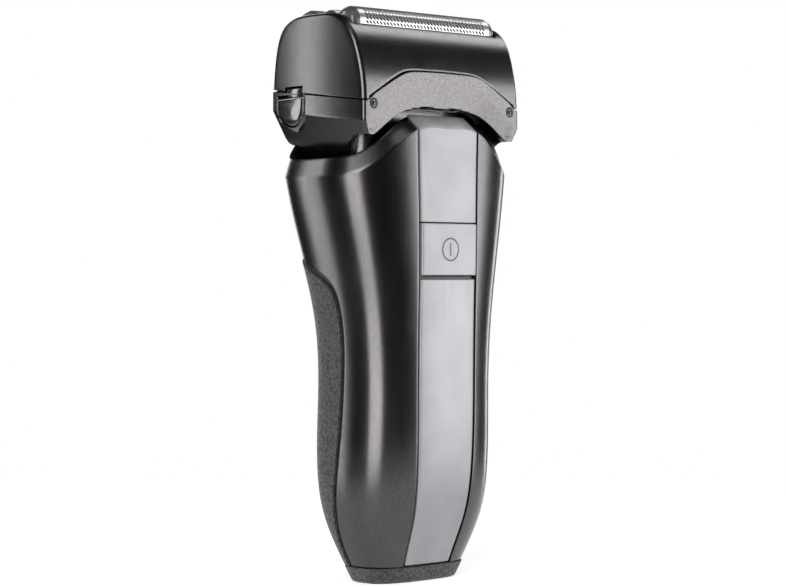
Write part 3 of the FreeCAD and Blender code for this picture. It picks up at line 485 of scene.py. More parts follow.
def make_icon():
    """A ring with an upright bar, printed on the power key."""
    z, proud = (BUTTON_LOW + BUTTON_HIGH) / 2, 0.53
    ring = ring_mesh("key_mark_ring", z, 3.1, 0.5, proud, 0.2)
    height = np.linspace(-1.75, 1.75, 8)
    share = np.linspace(-0.24, 0.24, 3)
    zz = np.repeat(z + height[:, None], 3, 1)
    x = np.repeat(share[None], 8, 0)
    points = skin_point(np.sign(x) * turn_at_x(np.abs(x), zz), zz, proud)
    bar = grids_object("key_mark_bar", [points], (0, 0, z))
    thicken(bar, 0.2, bevel=0)
    shade(ring)
    return [ring, bar]


def make_carrier():
    """The dark carrier behind the plates, seen in the gaps."""
    low = strip_grid(STRIP_GAP - 0.1, 4.9, BUTTON_LOW - 0.35, -1.15, 75)
    high = strip_grid(STRIP_GAP - 0.1, BUTTON_HIGH + 0.25, 129.2, -1.15, 30)
    obj = grids_object("strip_back", [low, high], (0, 0, 70))
    return thicken(obj, 0.9, bevel=0)


def foot_loop(inset, z, count=96):
    """A closed loop of the foot's oval, moved inward by inset."""
    turn = np.linspace(0, 2 * math.pi, count, endpoint=False)
    level = np.full(count, max(z, 0.0))
    p = handle_point(turn, level)
    n = handle_normal(turn, level)
    n[:, 2] = 0
    n /= np.linalg.norm(n, axis=1, keepdims=True)
    p = p - n * inset
    p[:, 2] = z
    return p


def make_foot():
    """The band round the foot with its rounded lower edge, down to the rim of the flat base."""
    proud, radius = 0.5, 1.3
    profile = [(1.4, RING_TOP - 0.05), (-proud + 0.35, RING_TOP)]
    profile += [(-proud + 0.1, RING_TOP - 0.1), (-proud, RING_TOP - 0.35)]
    profile += [(-proud, z) for z in np.linspace(RING_TOP - 0.8, radius, 6)]
    for angle in np.radians(np.linspace(15, 90, 6)):
        profile.append((-proud + radius * (1 - math.cos(angle)), radius * (1 - math.sin(angle))))
    profile += [(1.6, 0.0), (1.9, 0.35)]
    obj = grids_object("foot_band", [ring_grid([foot_loop(*point) for point in profile])], (0, 0, 2))
    return shade(obj, 50)


# ---------------- head curves
def soft_corner(v, width=3.0):
    """Zero below zero and v above it, with a rounded corner."""
    return (v + np.sqrt(v * v + width * width)) / 2


def seam_front(x):
    return 143.7 - 0.587 * soft_corner(np.abs(x) - 14.5)


def head_rise(y):
    """How much higher than at the front the seam and the side's crease are at a y."""
    return HEAD_RISE * (np.asarray(y) - HEAD_FRONT) / (HEAD_BACK - HEAD_FRONT)


def seam_side(y):
    return 134.55 + head_rise(y)


def arch_curve():
    """The head's side view from its front foot over the crown to its back foot."""
    front, back = HEAD_FRONT, HEAD_BACK
    points = np.array([
        (front, 126.0), (front, 134.0), (front + 0.6, 141.0), (front + 2.2, 147.6), (front + 5.0, 153.9),
        (front + 9.1, 157.6), (1.2, 159.0), (back - 9.4, 158.3), (back - 4.8, 155.8),
        (back - 2.2, 151.2), (back - 0.7, 144.5), (back, 136.0), (back, 128.0),
    ])
    run = length_along(*np.diff(points, axis=0).T)
    at_y, at_z = spline(run, points[:, 0]), spline(run, points[:, 1])
    s = np.linspace(0, run[-1], 2400)
    return s, np.stack([at_y(s), at_z(s)], -1)


ARCH_RUN, ARCH = arch_curve()
CROWN = int(np.argmax(ARCH[:, 1]))


def arch_at(s):
    return np.stack([np.interp(s, ARCH_RUN, ARCH[:, i]) for i in (0, 1)], -1)


def arch_inward(s):
    tangent = arch_at(s + 0.05) - arch_at(s - 0.05)
    tangent /= np.linalg.norm(tangent, axis=-1, keepdims=True)
    return np.stack([tangent[..., 1], -tangent[..., 0]], -1)


def arch_run_at(z, side):
    """The run along the arch at a level, on its front (-1) or back (1)."""
    if side < 0:
        return np.interp(z, ARCH[:CROWN, 1], ARCH_RUN[:CROWN])
    return np.interp(-np.asarray(z), -ARCH[CROWN:, 1], ARCH_RUN[CROWN:])


def run_at_y(y):
    """The run along the crown at a y."""
    crown = (ARCH[:, 1] > 147.5)
    return float(np.interp(y, ARCH[crown, 0], ARCH_RUN[crown]))


def head_end(y):
    """Half width of the head at a y, with the crown of its end face."""
    half = (HEAD_BACK - HEAD_FRONT) / 2 + 1
    return HEAD_HALF + HEAD_BULGE * (1 - ((np.asarray(y) - HEAD_MIDDLE) / half) ** 2)


# ---------------- head pieces
def slot_edges():
    """Runs along the arch of the three openings' edges, from front to back."""
    rows = ((-ROW_PITCH, FOIL_HALF), (0, SLIT_HALF), (ROW_PITCH, FOIL_HALF))
    edges = []
    for offset, half in rows:
        edges += [HEAD_Y + offset - half - SLOT_ROOM, HEAD_Y + offset + half + SLOT_ROOM]
    return [run_at_y(y) for y in edges]


def with_x(x, points):
    """Points from (y, z) pairs and their x, which may be one number."""
    y, z = points.T
    return np.stack([np.broadcast_to(x, y.shape), y, z], -1)


def frame_rows(start, end):
    """Runs along the arch from the front seam to the back seam, with rows on every slot edge."""
    edges = slot_edges()
    rows = list(np.linspace(start, edges[0], 22))
    for a, b in zip(edges, edges[1:]):
        count = 3 if b - a < 3 else 7
        rows += list(np.linspace(a, b, count))[1:]
    rows += list(np.linspace(edges[-1], end, 22))[1:]
    return np.array(rows)


def make_frame():
    """The foil frame: an arch run across the head with rounded, crowned ends and three openings."""
    fillet, slot_end = 1.2, CAP_END + SLOT_ROOM
    xs = np.linspace(0, slot_end, 26)
    columns = []
    for x in xs:
        rows = frame_rows(arch_run_at(seam_front(x), -1), arch_run_at(seam_front(x) + HEAD_RISE, 1))
        columns.append(with_x(x, arch_at(rows)))
    rows = frame_rows(arch_run_at(seam_side(HEAD_FRONT), -1), arch_run_at(seam_side(HEAD_BACK), 1))
    p, inner = arch_at(rows), arch_inward(rows)
    for share in (0.35, 0.7):
        columns.append(with_x(slot_end + (head_end(p[:, 0]) - fillet - slot_end) * share, p))
    for angle in np.radians(np.linspace(0, 90, 8)):
        q = p + inner * (fillet * (1 - math.cos(angle)))
        columns.append(with_x(head_end(q[:, 0]) - fillet + fillet * math.sin(angle), q))
    rim = p + inner * fillet
    middle = np.array([HEAD_MIDDLE, seam_side(HEAD_MIDDLE)])
    for share in np.linspace(0, 1, 16)[1:]:
        q = rim + (middle - rim) * share
        columns.append(with_x(head_end(q[:, 0]), q))
    grid = np.array(columns)
    edges = slot_edges()
    openings = list(zip(edges[::2], edges[1::2]))
    all_rows = frame_rows(0.0, 90.0)

    def skip(column, row):
        mid = (all_rows[row] + all_rows[row + 1]) / 2
        return column < len(xs) - 1 and any(a < mid < b for a, b in openings)

    obj = grids_object("foil_frame_shell", [grid], (0, 1.5, 140), mirror=True, weld=0.01, skip=skip)
    notches = [notch_tool(side) for side in (-1, 1)]
    return thicken(obj, 1.4, bevel=0.22, segments=2, angle=50, cuts=notches)


def box_object(name, low, high):
    """A box that cutters and small hooks start from."""
    corners = [(x, y, z) for x in (low[0], high[0]) for y in (low[1], high[1]) for z in (low[2], high[2])]
    faces = [(0, 1, 3, 2), (4, 6, 7, 5), (0, 4, 5, 1), (2, 3, 7, 6), (0, 2, 6, 4), (1, 5, 7, 3)]
    return make_object(name, corners, faces)


def notch_tool(side):
    """A cutter for the notch in the frame that a release hook stands in."""
    x = sorted((side * 26, side * 36))
    room = HOOK_HALF + 0.4
    return box_object("notch", (x[0], HOOK_Y - room, 130), (x[1], HOOK_Y + room, HOOK_TOP + 0.4))


def release_loop(grow, count=14):
    """The outline of a release key in the side view: flat above, round below."""
    half, low, high = RELEASE_HALF + grow, RELEASE_LOW - grow, RELEASE_HIGH + grow
    start = low + 0.62 * (high - low)
    drop = start - low
    radius = (half * half + drop * drop) / (2 * drop)
    centre_z = low + radius
    reach = math.asin(min(1.0, half / radius))
    arc = [
        (RELEASE_Y + radius * math.sin(a), centre_z - radius * math.cos(a))
        for a in np.linspace(-reach, reach, count)
    ]
    return [(RELEASE_Y - half, high)] + arc + [(RELEASE_Y + half, high)]


def prism(name, loop, x_low, x_high):
    """A solid of a (y, z) outline between two x values."""
    count = len(loop)
    verts = [(x, y, z) for x in (x_low, x_high) for y, z in loop]
    faces = [tuple(range(count)), tuple(reversed(range(count, 2 * count)))]
    faces += [(i, i + count, (i + 1) % count + count, (i + 1) % count) for i in range(count)]
    return clean_mesh(make_object(name, verts, faces))


def make_catches(name, profile):
    """Turned rings or pins at the frame's four catches, two at the front and two at the back."""
    turns = np.linspace(0, 2 * math.pi, 33)
    grids = []
    for side in (-1, 1):
        for face, out, level in ((HEAD_FRONT, -1, CATCH_Z), (HEAD_BACK, 1, CATCH_Z + HEAD_RISE)):
            rings = []
            for r, lift in profile:
                x, z = side * CATCH_X + r * np.cos(turns), level + r * np.sin(turns)
                rings.append(np.stack([x, np.full(33, face + out * lift), z], -1))
            grids.append(np.array(rings))
    obj = grids_object(name, grids, weld=0.01)
    return shade(obj, 40)


def key_surface(y, z):
    """Half width of the head at a release key, which draws in towards its foot."""
    return head_end(y) - np.clip(KEY_TAPER_FROM - z, 0, 4) * KEY_TAPER


def make_release(name, side):
    """A glossy release key, domed a little, with the hook that stands in the frame's notch."""
    rings = []
    loop = np.array(release_loop(0.0, 18))
    middle = np.array([RELEASE_Y, (RELEASE_LOW + RELEASE_HIGH) / 2 + 0.4])
    depth = [(1.0, 3.1), (1.0, 0.45), (0.985, 0.2), (0.95, 0.05)]
    for share, inset in depth + [(s, -0.12 * (1 - s)) for s in (0.8, 0.6, 0.4, 0.2, 0.0)]:
        y, z = (middle + (loop - middle) * share).T
        rings.append(np.stack([side * (key_surface(y, z) - inset), y, z], -1))
    obj = grids_object(name, [ring_grid(rings)], (side * 20, RELEASE_Y, 132), weld=0.01)
    shade(obj, 45)
    hook = box_object(name + "_hook", *hook_corners(side))
    round_edges(hook, 0.35)
    shade(hook)
    return obj, hook


def make_bezel(name, side):
    """The polished surround of a release key, which rises from the base's side to meet the key."""
    # growth of the key's outline, lift over the surface, and share of the base's own surface
    profile = [
        (0.3, -1.6, 0.0), (0.3, -0.1, 0.0), (0.42, 0.14, 0.0), (0.7, 0.22, 0.15),
        (1.1, 0.16, 0.6), (1.5, -0.05, 1.0), (1.75, -0.5, 1.0),
    ]
    rings = []
    for grow, lift, lean in profile:
        y, z = np.array(release_loop(grow, 26)).T
        z = np.minimum(z, RELEASE_HIGH - 0.6 + 0.5 * grow)
        x = key_surface(y, z) * (1 - lean) + base_surface(y, z) * lean + lift
        rings.append(np.stack([side * x, y, z], -1))
    obj = grids_object(name, [ring_grid(rings)], (side * 20, RELEASE_Y, 132), weld=0.01)
    return thicken(obj, 0.25, bevel=0)


def hook_corners(side):
    """The low and the high corner of a key's hook."""
    x = sorted((side * 28.2, side * (float(head_end(HOOK_Y)) - 0.75)))
    return (x[0], HOOK_Y - HOOK_HALF, RELEASE_HIGH + 0.15), (x[1], HOOK_Y + HOOK_HALF, HOOK_TOP)


def plan_loop():
    """Half of the head's plan from the front centre round +X to the back centre, as (x, y) points."""
    corner = 0.8

    def turned(face, inward, angles):
        ys = [face + inward * (1 - math.cos(a)) for a in angles]
        return [(float(head_end(y)) - corner + corner * math.sin(a), y) for y, a in zip(ys, angles)]

    quarter = np.radians(np.linspace(0, 90, 9))
    points = [(x, HEAD_FRONT) for x in np.linspace(0, HEAD_HALF - corner, 60)]
    points += turned(HEAD_FRONT, corner, quarter[1:])
    sides = np.linspace(HEAD_FRONT + corner, HEAD_BACK - corner, 46)[1:]
    points += [(float(head_end(y)), y) for y in sides]
    points += turned(HEAD_BACK, -corner, quarter[::-1][1:])
    points += [(x, HEAD_BACK) for x in np.linspace(HEAD_HALF - corner, 0, 60)[1:]]
    return np.array(points)


def base_levels(x, y):
    """Seam, crease and lower edge of the head base at points of its plan."""
    back = smooth(-12, 14, y)
    on_side = smooth(26.5, 30.2, np.abs(x))

    def blend(face, side):
        return (1 - on_side) * face + on_side * side

    seam = blend(seam_front(x) + HEAD_RISE * back, seam_side(y)) - 0.55
    crease_arch = 140.2 - 0.70 * soft_corner(np.abs(x) - 13.5)
    crease = blend(crease_arch + HEAD_RISE * back, SIDE_CREASE + head_rise(y))
    lower_arch = 133.0 - (0.80 + 0.54 * back) * soft_corner(np.abs(x) - 15.5 + back)
    over_rim = rim_height(0.87 * x) + 1.4 + 0.7 * smooth(8, 16, np.abs(x))
    corner = smooth(6.0, 14.5, np.abs(y - HEAD_MIDDLE))
    side_low = 116.5 + (5.9 + 2.7 * (1 - back)) * corner
    lower = blend(np.maximum(lower_arch + HEAD_RISE * back, over_rim), side_low)
    return seam, crease, np.minimum(lower, crease - 1.0)


def clear_of_collar(x, y, z):
    """Draws in the points that lie lower than just above the collar's rim, so that they pass inside it."""
    wall = bevel_size(x)[1] + 2.7
    middle = centre_at(z)
    far_x = np.abs(x) / (width_at(z) - wall)
    far_y = np.abs(y - middle) / (depth_at(z) - wall)
    out = (far_x ** 3 + far_y ** 3) ** (1 / 3)
    room = RIM_ROOM + 0.5 * (1 - smooth(-6, 6, y))
    low = 1 - smooth(0.0, 0.5, z - rim_height(x) - room)
    scale = 1 + (1 / np.maximum(out, 1.0) - 1) * low
    return x * scale, middle + (y - middle) * scale


def base_surface(y, z):
    """Half width of the head base's side at a level: upright above its crease, and leaning in below."""
    return head_end(y) * (1 - SIDE_LEAN * np.clip(SIDE_CREASE + head_rise(y) - z, 0, 20))


def make_base():
    """The head base: a band under the seam, and below its crease faces that narrow to the neck."""
    x, y = plan_loop().T
    seam, crease, lower = base_levels(x, y)
    turn = np.arctan2(x / 30.0, (HEAD_MIDDLE - y) / 19.0)
    oval_x, oval_y = superoval(turn, 30.9, 19.0, HEAD_MIDDLE, 3.2)
    rows = []

    def ring(px, py, pz):
        rows.append(np.stack([px, py, pz], -1))

    lip = 1.5
    for steps, level in ((3, seam - 6.0), (2, seam)):
        share = 1 - steps * lip / 31
        ring(x * share, HEAD_MIDDLE + (y - HEAD_MIDDLE) * share, level)
    for share in np.linspace(0, 1, 9):
        ring(x, y, seam + (crease - seam) * share)
    tall = crease - lower
    for share in np.linspace(0, 1, 22)[1:]:
        deep = tall * share
        sink_x = np.clip(1 - SIDE_LEAN * deep, 0.5, 1)
        sink_y = 1 - 0.0085 * deep
        mix = smooth(7, 20, deep)
        px = (x * (1 - mix) + oval_x * mix) * sink_x
        py = HEAD_MIDDLE + ((y * (1 - mix) + oval_y * mix) - HEAD_MIDDLE) * sink_y
        ring(*clear_of_collar(px, py, crease - deep), crease - deep)
    edge_x, edge_y, edge_z = rows[-1].T
    for share in (0.985, 0.93, 0.72):
        lift = rim_height(edge_x * share) - rim_height(edge_x)
        ring(edge_x * share, HEAD_MIDDLE + (edge_y - HEAD_MIDDLE) * share, edge_z + lift)
    obj = grids_object("head_base_shell", [np.array(rows)], (0, 1.5, 130), mirror=True, weld=0.01)
    pockets = [prism("pocket", release_loop(0.9), *sorted((side * 25.0, side * 34))) for side in (-1, 1)]
    thicken(obj, 1.2, bevel=0.0, cuts=pockets)
    round_edges(obj, 0.16, 2, 50)
    return shade(obj, 30)


def oval_tube(name, sections, inside=None):
    """A tube through ovals, each with its level, half width, half depth, middle in Y and power."""
    turn = np.linspace(0, 2 * math.pi, 96, endpoint=False)
    loops = []
    for z, *shape in sections:
        x, y = superoval(turn, *shape)
        loops.append(np.stack([x, y, np.full(len(turn), z)], -1))
    return grids_object(name, [ring_grid(loops)], inside)


def make_neck():
    """The neck core inside the collar."""
    widths = ((106.5, 22.6, 10.6), (114, 23.0, 11.2), (124, 23.6, 11.9), (134, 24.0, 12.2))
    obj = oval_tube("neck_tube", [(*section, HEAD_Y, 4) for section in widths], (0, 1, 120))
    return thicken(obj, 1.2, bevel=0.2)


def make_bellows():
    """The ribbed rubber seal between the neck and the collar."""
    sections = []
    for share in np.linspace(0, 1, 25):
        lift = 0.45 * math.sin(share * 4 * math.pi)
        half = 23.6 + 6.3 * share, 11.9 + 4.6 * share
        sections.append((116.4 + lift, *half, HEAD_Y + 0.5 * share, 4 - share))
    obj = oval_tube("neck_bellows", sections)
    for p in obj.data.polygons:
        if p.normal.z < 0:
            p.flip()
    return thicken(obj, 0.4, bevel=0)


# ---------------- foils
def arch_section(half, top, foot, count=20):
    """Points (y, z) up one side, over a round top and down the other."""
    angles = np.radians(np.linspace(180, 0, count))
    arc = [(half * math.cos(a), top - half + half * math.sin(a)) for a in angles]
    return [(-half, foot)] + arc + [(half, foot)]


def make_foil(name, centre):
    """A foil: a thin arch of steel with rows of small slanting slots between two plain end strips."""
    radius, end = FOIL_HALF, FOIL_END
    straight = RIDGE - radius - FOIL_FOOT
    arc = math.pi * radius
    total = 2 * straight + arc

    def place(x, s):
        if s < straight:
            return (x, centre - radius, FOIL_FOOT + s)
        if s > straight + arc:
            return (x, centre + radius, FOIL_FOOT + (total - s))
        a = math.pi - (s - straight) / radius
        return (x, centre + radius * math.cos(a), RIDGE - radius + radius * math.sin(a))

    plain = 1.6
    pitch_x, pitch_s = 1.3, 1.15
    hx, hs = pitch_x / 2, pitch_s / 2
    nx = int((2 * (end - plain)) / pitch_x)
    ns = int((arc + 3.0) / pitch_s)
    x0, s0 = -nx * pitch_x / 2, total / 2 - ns * pitch_s / 2
    slant = math.atan2(pitch_s, pitch_x)
    ca, sa = math.cos(slant), -math.sin(slant)
    slot_long, slot_wide = 0.66, 0.27
    ring = [(1, 0), (0.72, 1), (-0.72, 1), (-1, 0), (-0.72, -1), (0.72, -1)]
    border = [(hx, 0), (hx, hs), (-hx, hs), (-hx, 0), (-hx, -hs), (hx, -hs)]
    verts, faces = [], []

    def add(x, s):
        verts.append(place(x, s))
        return len(verts) - 1

    def plain_cells(columns, rows):
        for low, high in zip(rows, rows[1:]):
            for xa, xb in columns:
                faces.append((add(xa, low), add(xb, low), add(xb, high), add(xa, high)))

    for i in range(nx):
        for j in range(ns):
            cx, cs = x0 + (i + 0.5) * pitch_x, s0 + (j + 0.5) * pitch_s
            hole = []
            for u, v in ring:
                along, across = u * slot_long, v * slot_wide
                hole.append(add(cx + along * ca - across * sa, cs + along * sa + across * ca))
            out = [add(cx + u, cs + v) for u, v in border]
            for k in range(6):
                m = (k + 1) % 6
                faces.append((out[k], out[m], hole[m], hole[k]))
    below, above = np.linspace(0, s0, 8), np.linspace(s0 + ns * pitch_s, total, 8)
    steps = [*below, *(s0 + k * pitch_s / 2 for k in range(1, 2 * ns)), *above]
    for strip in ((-end, x0), (x0 + nx * pitch_x, end)):
        plain_cells([strip], steps)
    columns = [x0 + k * pitch_x / 2 for k in range(2 * nx + 1)]
    for rows in (below, above):
        plain_cells(list(zip(columns, columns[1:])), rows)
    obj = clean_mesh(make_object(name, verts, faces), 0.004)
    face_outward(obj, (0, centre, 153))
    return thicken(obj, 0.12, bevel=0)


def make_caps(name, centre, half, top):
    """The moulded end caps of a cassette: a rounded end behind a narrow rib that meets the foil."""
    foot = 149.0
    section = np.array(arch_section(half + 0.02, top - 0.1, foot))
    middle = np.array([0, (top + foot) / 2])
    grids = []
    for side in (-1, 1):
        rings = []
        for inset, scale in CAP_PROFILE:
            points = np.array([centre, 0]) + middle + (section - middle) * scale
            rings.append(with_x(side * (CAP_END - inset), points))
        grids.append(ring_grid(rings))
    obj = grids_object(name, grids, (0, centre, 154), weld=0.01)
    return shade(obj, 40)


def make_slit():
    """The middle trimmer: a slotted steel guard with a flat, finely toothed top."""
    half, top, end = SLIT_HALF, RIDGE - SLIT_DROP, FOIL_END
    section = [(-half, FOIL_FOOT), (-half, top - 1.1), (-half + 0.5, top - 0.3), (-half + 1.2, top)]
    section += [(-y, z) for y, z in reversed(section)]
    tooth = 0.75
    count = int(2 * (end - 2.4) / tooth)
    start = -count * tooth / 2
    xs = [-end]
    for i in range(count):
        xs += [start + i * tooth, start + (i + 0.5) * tooth]
    xs += [start + count * tooth, end]
    grid = np.array([[(x, HEAD_Y + y, z) for y, z in section] for x in xs])

    def skip(row, column):
        in_slot = 0 < row < len(xs) - 2 and row % 2 == 1
        return in_slot and column in (1, 2, 4, 5)

    obj = grids_object("middle_foil_guard", [grid], (0, HEAD_Y, 154), skip=skip)
    return thicken(obj, 0.2, bevel=0)


# ---------------- materials
def material(name, colour, metallic=0.0, roughness=0.5, coat=0.0, coat_rough=0.1, sheen=0.0):
    mat = bpy.data.materials.new(name)
    mat.use_nodes = True
    tree = mat.node_tree
    shader = tree.nodes["Principled BSDF"]
    shader.inputs["Base Color"].default_value = (*colour, 1)
    shader.inputs["Metallic"].default_value = metallic
    shader.inputs["Roughness"].default_value = roughness
    shader.inputs["Coat Weight"].default_value = coat
    shader.inputs["Coat Roughness"].default_value = coat_rough
    shader.inputs["Sheen Weight"].default_value = sheen
    mat.diffuse_color = (*colour, 1)
    return mat, tree, shader


def add_node(tree, kind, settings=None, values=None, links=None):
    """A shader node with its settings, its input values and the sockets linked to its inputs."""
    node = tree.nodes.new("ShaderNode" + kind)
    for key, value in (settings or {}).items():
        setattr(node, key, value)
    for key, value in (values or {}).items():
        node.inputs[key].default_value = value
    for key, socket in (links or {}).items():
        tree.links.new(socket, node.inputs[key])
    return node


def object_place(tree, scale=(1, 1, 1)):
    place = add_node(tree, "TexCoord").outputs["Object"]
    return add_node(tree, "Mapping", values={"Scale": scale}, links={"Vector": place}).outputs["Vector"]


def noise(tree, vector, scale, detail=3.0, roughness=0.5):
    values = {"Scale": scale, "Detail": detail, "Roughness": roughness}
    return add_node(tree, "TexNoise", values=values, links={"Vector": vector}).outputs["Fac"]


def ramp(tree, value, stops):
    node = add_node(tree, "ValToRGB", links={"Fac": value})
    elements = node.color_ramp.elements
    while len(elements) < len(stops):
        elements.new(0.5)
    for element, (at, colour) in zip(elements, stops):
        element.position = at
        element.color = (*colour, 1)
    return node.outputs["Color"]


def span(tree, value, low, high):
    values = {"To Min": low, "To Max": high}
    return add_node(tree, "MapRange", values=values, links={"Value": value}).outputs["Result"]


def bump(tree, shader, height, strength, distance):
    values = {"Strength": strength, "Distance": distance}
    node = add_node(tree, "Bump", values=values, links={"Height": height})
    tree.links.new(node.outputs["Normal"], shader.inputs["Normal"])


def metallic_paint(name, dark, light, roughness, metallic):
    """Satin paint with fine metal flakes, slight colour drift and faint handling marks."""
    mat, tree, shader = material(name, dark, metallic, roughness, coat=0.1, coat_rough=0.2)
    place = object_place(tree)
    flakes = noise(tree, place, 5200, 1.0)
    drift = noise(tree, place, 34, 3.0)
    colour = ramp(tree, flakes, [(0.36, dark), (0.62, light)])
    shadow = ramp(tree, drift, [(0.3, (0.86, 0.86, 0.87)), (0.7, (1, 1, 1))])
    settings = {"data_type": "RGBA", "blend_type": "MULTIPLY"}
    mix = add_node(tree, "Mix", settings, {"Factor": 0.35}, {"A": colour, "B": shadow})
    tree.links.new(mix.outputs["Result"], shader.inputs["Base Color"])
    marks = noise(tree, object_place(tree, (1, 1, 0.3)), 260, 4.0, 0.6)
    tree.links.new(span(tree, marks, roughness - 0.05, roughness + 0.06), shader.inputs["Roughness"])
    bump(tree, shader, flakes, 0.05, 0.00004)
    return mat


def brushed(name, colour, roughness, scale=(1, 1, 0.02), metallic=1.0, strength=0.12):
    """Metal with fine lines along the direction that the scale stretches."""
    mat, tree, shader = material(name, colour, metallic, roughness)
    lines = noise(tree, object_place(tree, scale), 2600, 2.0)
    cloud = noise(tree, object_place(tree), 90, 2.0)
    low = tuple(c * 0.86 for c in colour)
    tree.links.new(ramp(tree, cloud, [(0.3, low), (0.7, colour)]), shader.inputs["Base Color"])
    tree.links.new(span(tree, lines, roughness - 0.06, roughness + 0.08), shader.inputs["Roughness"])
    bump(tree, shader, lines, strength, 0.00003)
    return mat


def grained(name, dark, light):
    """Soft-touch elastomer with a leather-like grain: small raised pebbles with creases between them, with
    painted shade in the creases and painted light on the pebble tops in its colour.
    """
    mat, tree, shader = material(name, dark, 0.0, 0.62, sheen=0.12)
    place = object_place(tree)
    wave = add_node(tree, "TexNoise", values={"Scale": 420}, links={"Vector": place}).outputs["Color"]
    bend = (0.0011, 0.0011, 0.0011)
    operation = {"operation": "MULTIPLY_ADD"}
    warp = add_node(tree, "VectorMath", operation, {1: bend}, {0: wave, 2: place}).outputs["Vector"]
    cells = add_node(tree, "TexVoronoi", {"feature": "F1"}, {"Scale": 1150}, {"Vector": warp})
    away = cells.outputs["Distance"]
    pebble = add_node(tree, "Math", {"operation": "SUBTRACT"}, {0: 1.0}, {1: away}).outputs["Value"]
    fine = noise(tree, place, 3600, 2.0)
    height = add_node(tree, "Math", operation, {1: 0.18}, {0: fine, 2: pebble}).outputs["Value"]
    # painted shade and light: the colour is darker down in the creases and lighter on the pebble tops
    painted_shading = ramp(tree, pebble, [(0.25, dark), (0.85, light)])
    tree.links.new(painted_shading, shader.inputs["Base Color"])
    tree.links.new(span(tree, pebble, 0.78, 0.52), shader.inputs["Roughness"])
    bump(tree, shader, height, 0.85, 0.00032)
    return mat


def moulded(name, colour, roughness, grain=1500, strength=0.06, coat=0.0, metallic=0.0):
    """Moulded plastic or rubber with a fine eroded texture and slight gloss variation."""
    mat, tree, shader = material(name, colour, metallic, roughness, coat=coat, coat_rough=0.06)
    place = object_place(tree)
    fine, cloud = noise(tree, place, grain, 2.0), noise(tree, place, 60, 2.0)
    lift = tuple(min(1.0, c * 1.25 + 0.002) for c in colour)
    tree.links.new(ramp(tree, cloud, [(0.3, colour), (0.75, lift)]), shader.inputs["Base Color"])
    tree.links.new(span(tree, fine, roughness - 0.04, roughness + 0.05), shader.inputs["Roughness"])
    bump(tree, shader, fine, strength, 0.00005)
    return mat


def wound_wire(name):
    """Enamelled copper wire, wound in close turns, with painted shade between the turns and painted
    highlights along them.
    """
    mat, tree, shader = material(name, (0.62, 0.25, 0.10), 1.0, 0.32)
    values = {"Scale": 900, "Distortion": 0.4}
    links = {"Vector": object_place(tree)}
    turns = add_node(tree, "TexWave", {"bands_direction": "Z"}, values, links).outputs["Fac"]
    # painted shade and highlight: each band runs from dark between turns to bright copper on the turn's crown
    painted_shading = ramp(tree, turns, [(0.2, (0.28, 0.09, 0.04)), (0.7, (0.72, 0.31, 0.14))])
    tree.links.new(painted_shading, shader.inputs["Base Color"])
    bump(tree, shader, turns, 0.6, 0.0001)
    return mat


GUNMETAL = (0.054, 0.052, 0.052), (0.10, 0.096, 0.095)  # the paint's colour between its flakes, and of them
MATERIALS = {
    "housing_plastic": metallic_paint("gunmetal_paint", *GUNMETAL, 0.24, 1.0),
    "panel_silver": brushed("silver_panel", (0.27, 0.27, 0.286), 0.40, (1, 1, 0.03), 0.35, 0.03),
    "grip_elastomer": grained("grained_elastomer", (0.012, 0.012, 0.013), (0.048, 0.048, 0.050)),
    "black_plastic": moulded("matt_black_plastic", (0.008, 0.008, 0.009), 0.45),
    "gloss_black": moulded("polished_black", (0.010, 0.010, 0.011), 0.16, 400, 0.01, coat=0.6),
    "inner_plastic": moulded("inner_moulding", (0.11, 0.115, 0.12), 0.5),
    "foil_steel": brushed("etched_foil", (0.42, 0.424, 0.436), 0.34, (0.05, 1, 1), 1.0, 0.06),
    "blade_steel": brushed("ground_steel", (0.16, 0.16, 0.165), 0.34, (1, 0.05, 1)),
    "screw_steel": brushed("plated_steel", (0.46, 0.46, 0.47), 0.32, (1, 1, 1)),
    "contact_brass": brushed("gold_contact", (0.86, 0.62, 0.25), 0.2, (1, 1, 1)),
    "seal_rubber": moulded("seal_rubber", (0.010, 0.010, 0.011), 0.62, 900, 0.12),
    "board": moulded("solder_mask", (0.010, 0.10, 0.040), 0.30, 900, 0.05, coat=0.3),
    "component": moulded("component_epoxy", (0.020, 0.020, 0.022), 0.42),
    "cell_wrap": moulded("cell_sleeve", (0.030, 0.12, 0.32), 0.28, 500, 0.04, coat=0.3),
    "copper": wound_wire("wound_copper"),
    "magnet": brushed("nickel_plate", (0.66, 0.65, 0.62), 0.18, (1, 1, 1)),
    "motor_steel": brushed("pressed_steel", (0.32, 0.32, 0.33), 0.36, (1, 0.1, 1)),
    "cap_plastic": moulded("smoke_plastic", (0.055, 0.056, 0.060), 0.26, 700, 0.03, coat=0.35),
}
MARK = moulded("key_mark_ink", (0.012, 0.012, 0.014), 0.35)


def paint(obj, name):
    obj.data.materials.clear()
    obj.data.materials.append(MATERIALS[name] if name in MATERIALS else MARK)
    return obj


def place_piece(obj, body, slot, *nodes):
    """Gives a piece the material of its slot and its body, and hides the CAD nodes that it stands for."""
    paint(obj, slot)
    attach(obj, body)
    if nodes:
        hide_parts(*nodes)
    return obj


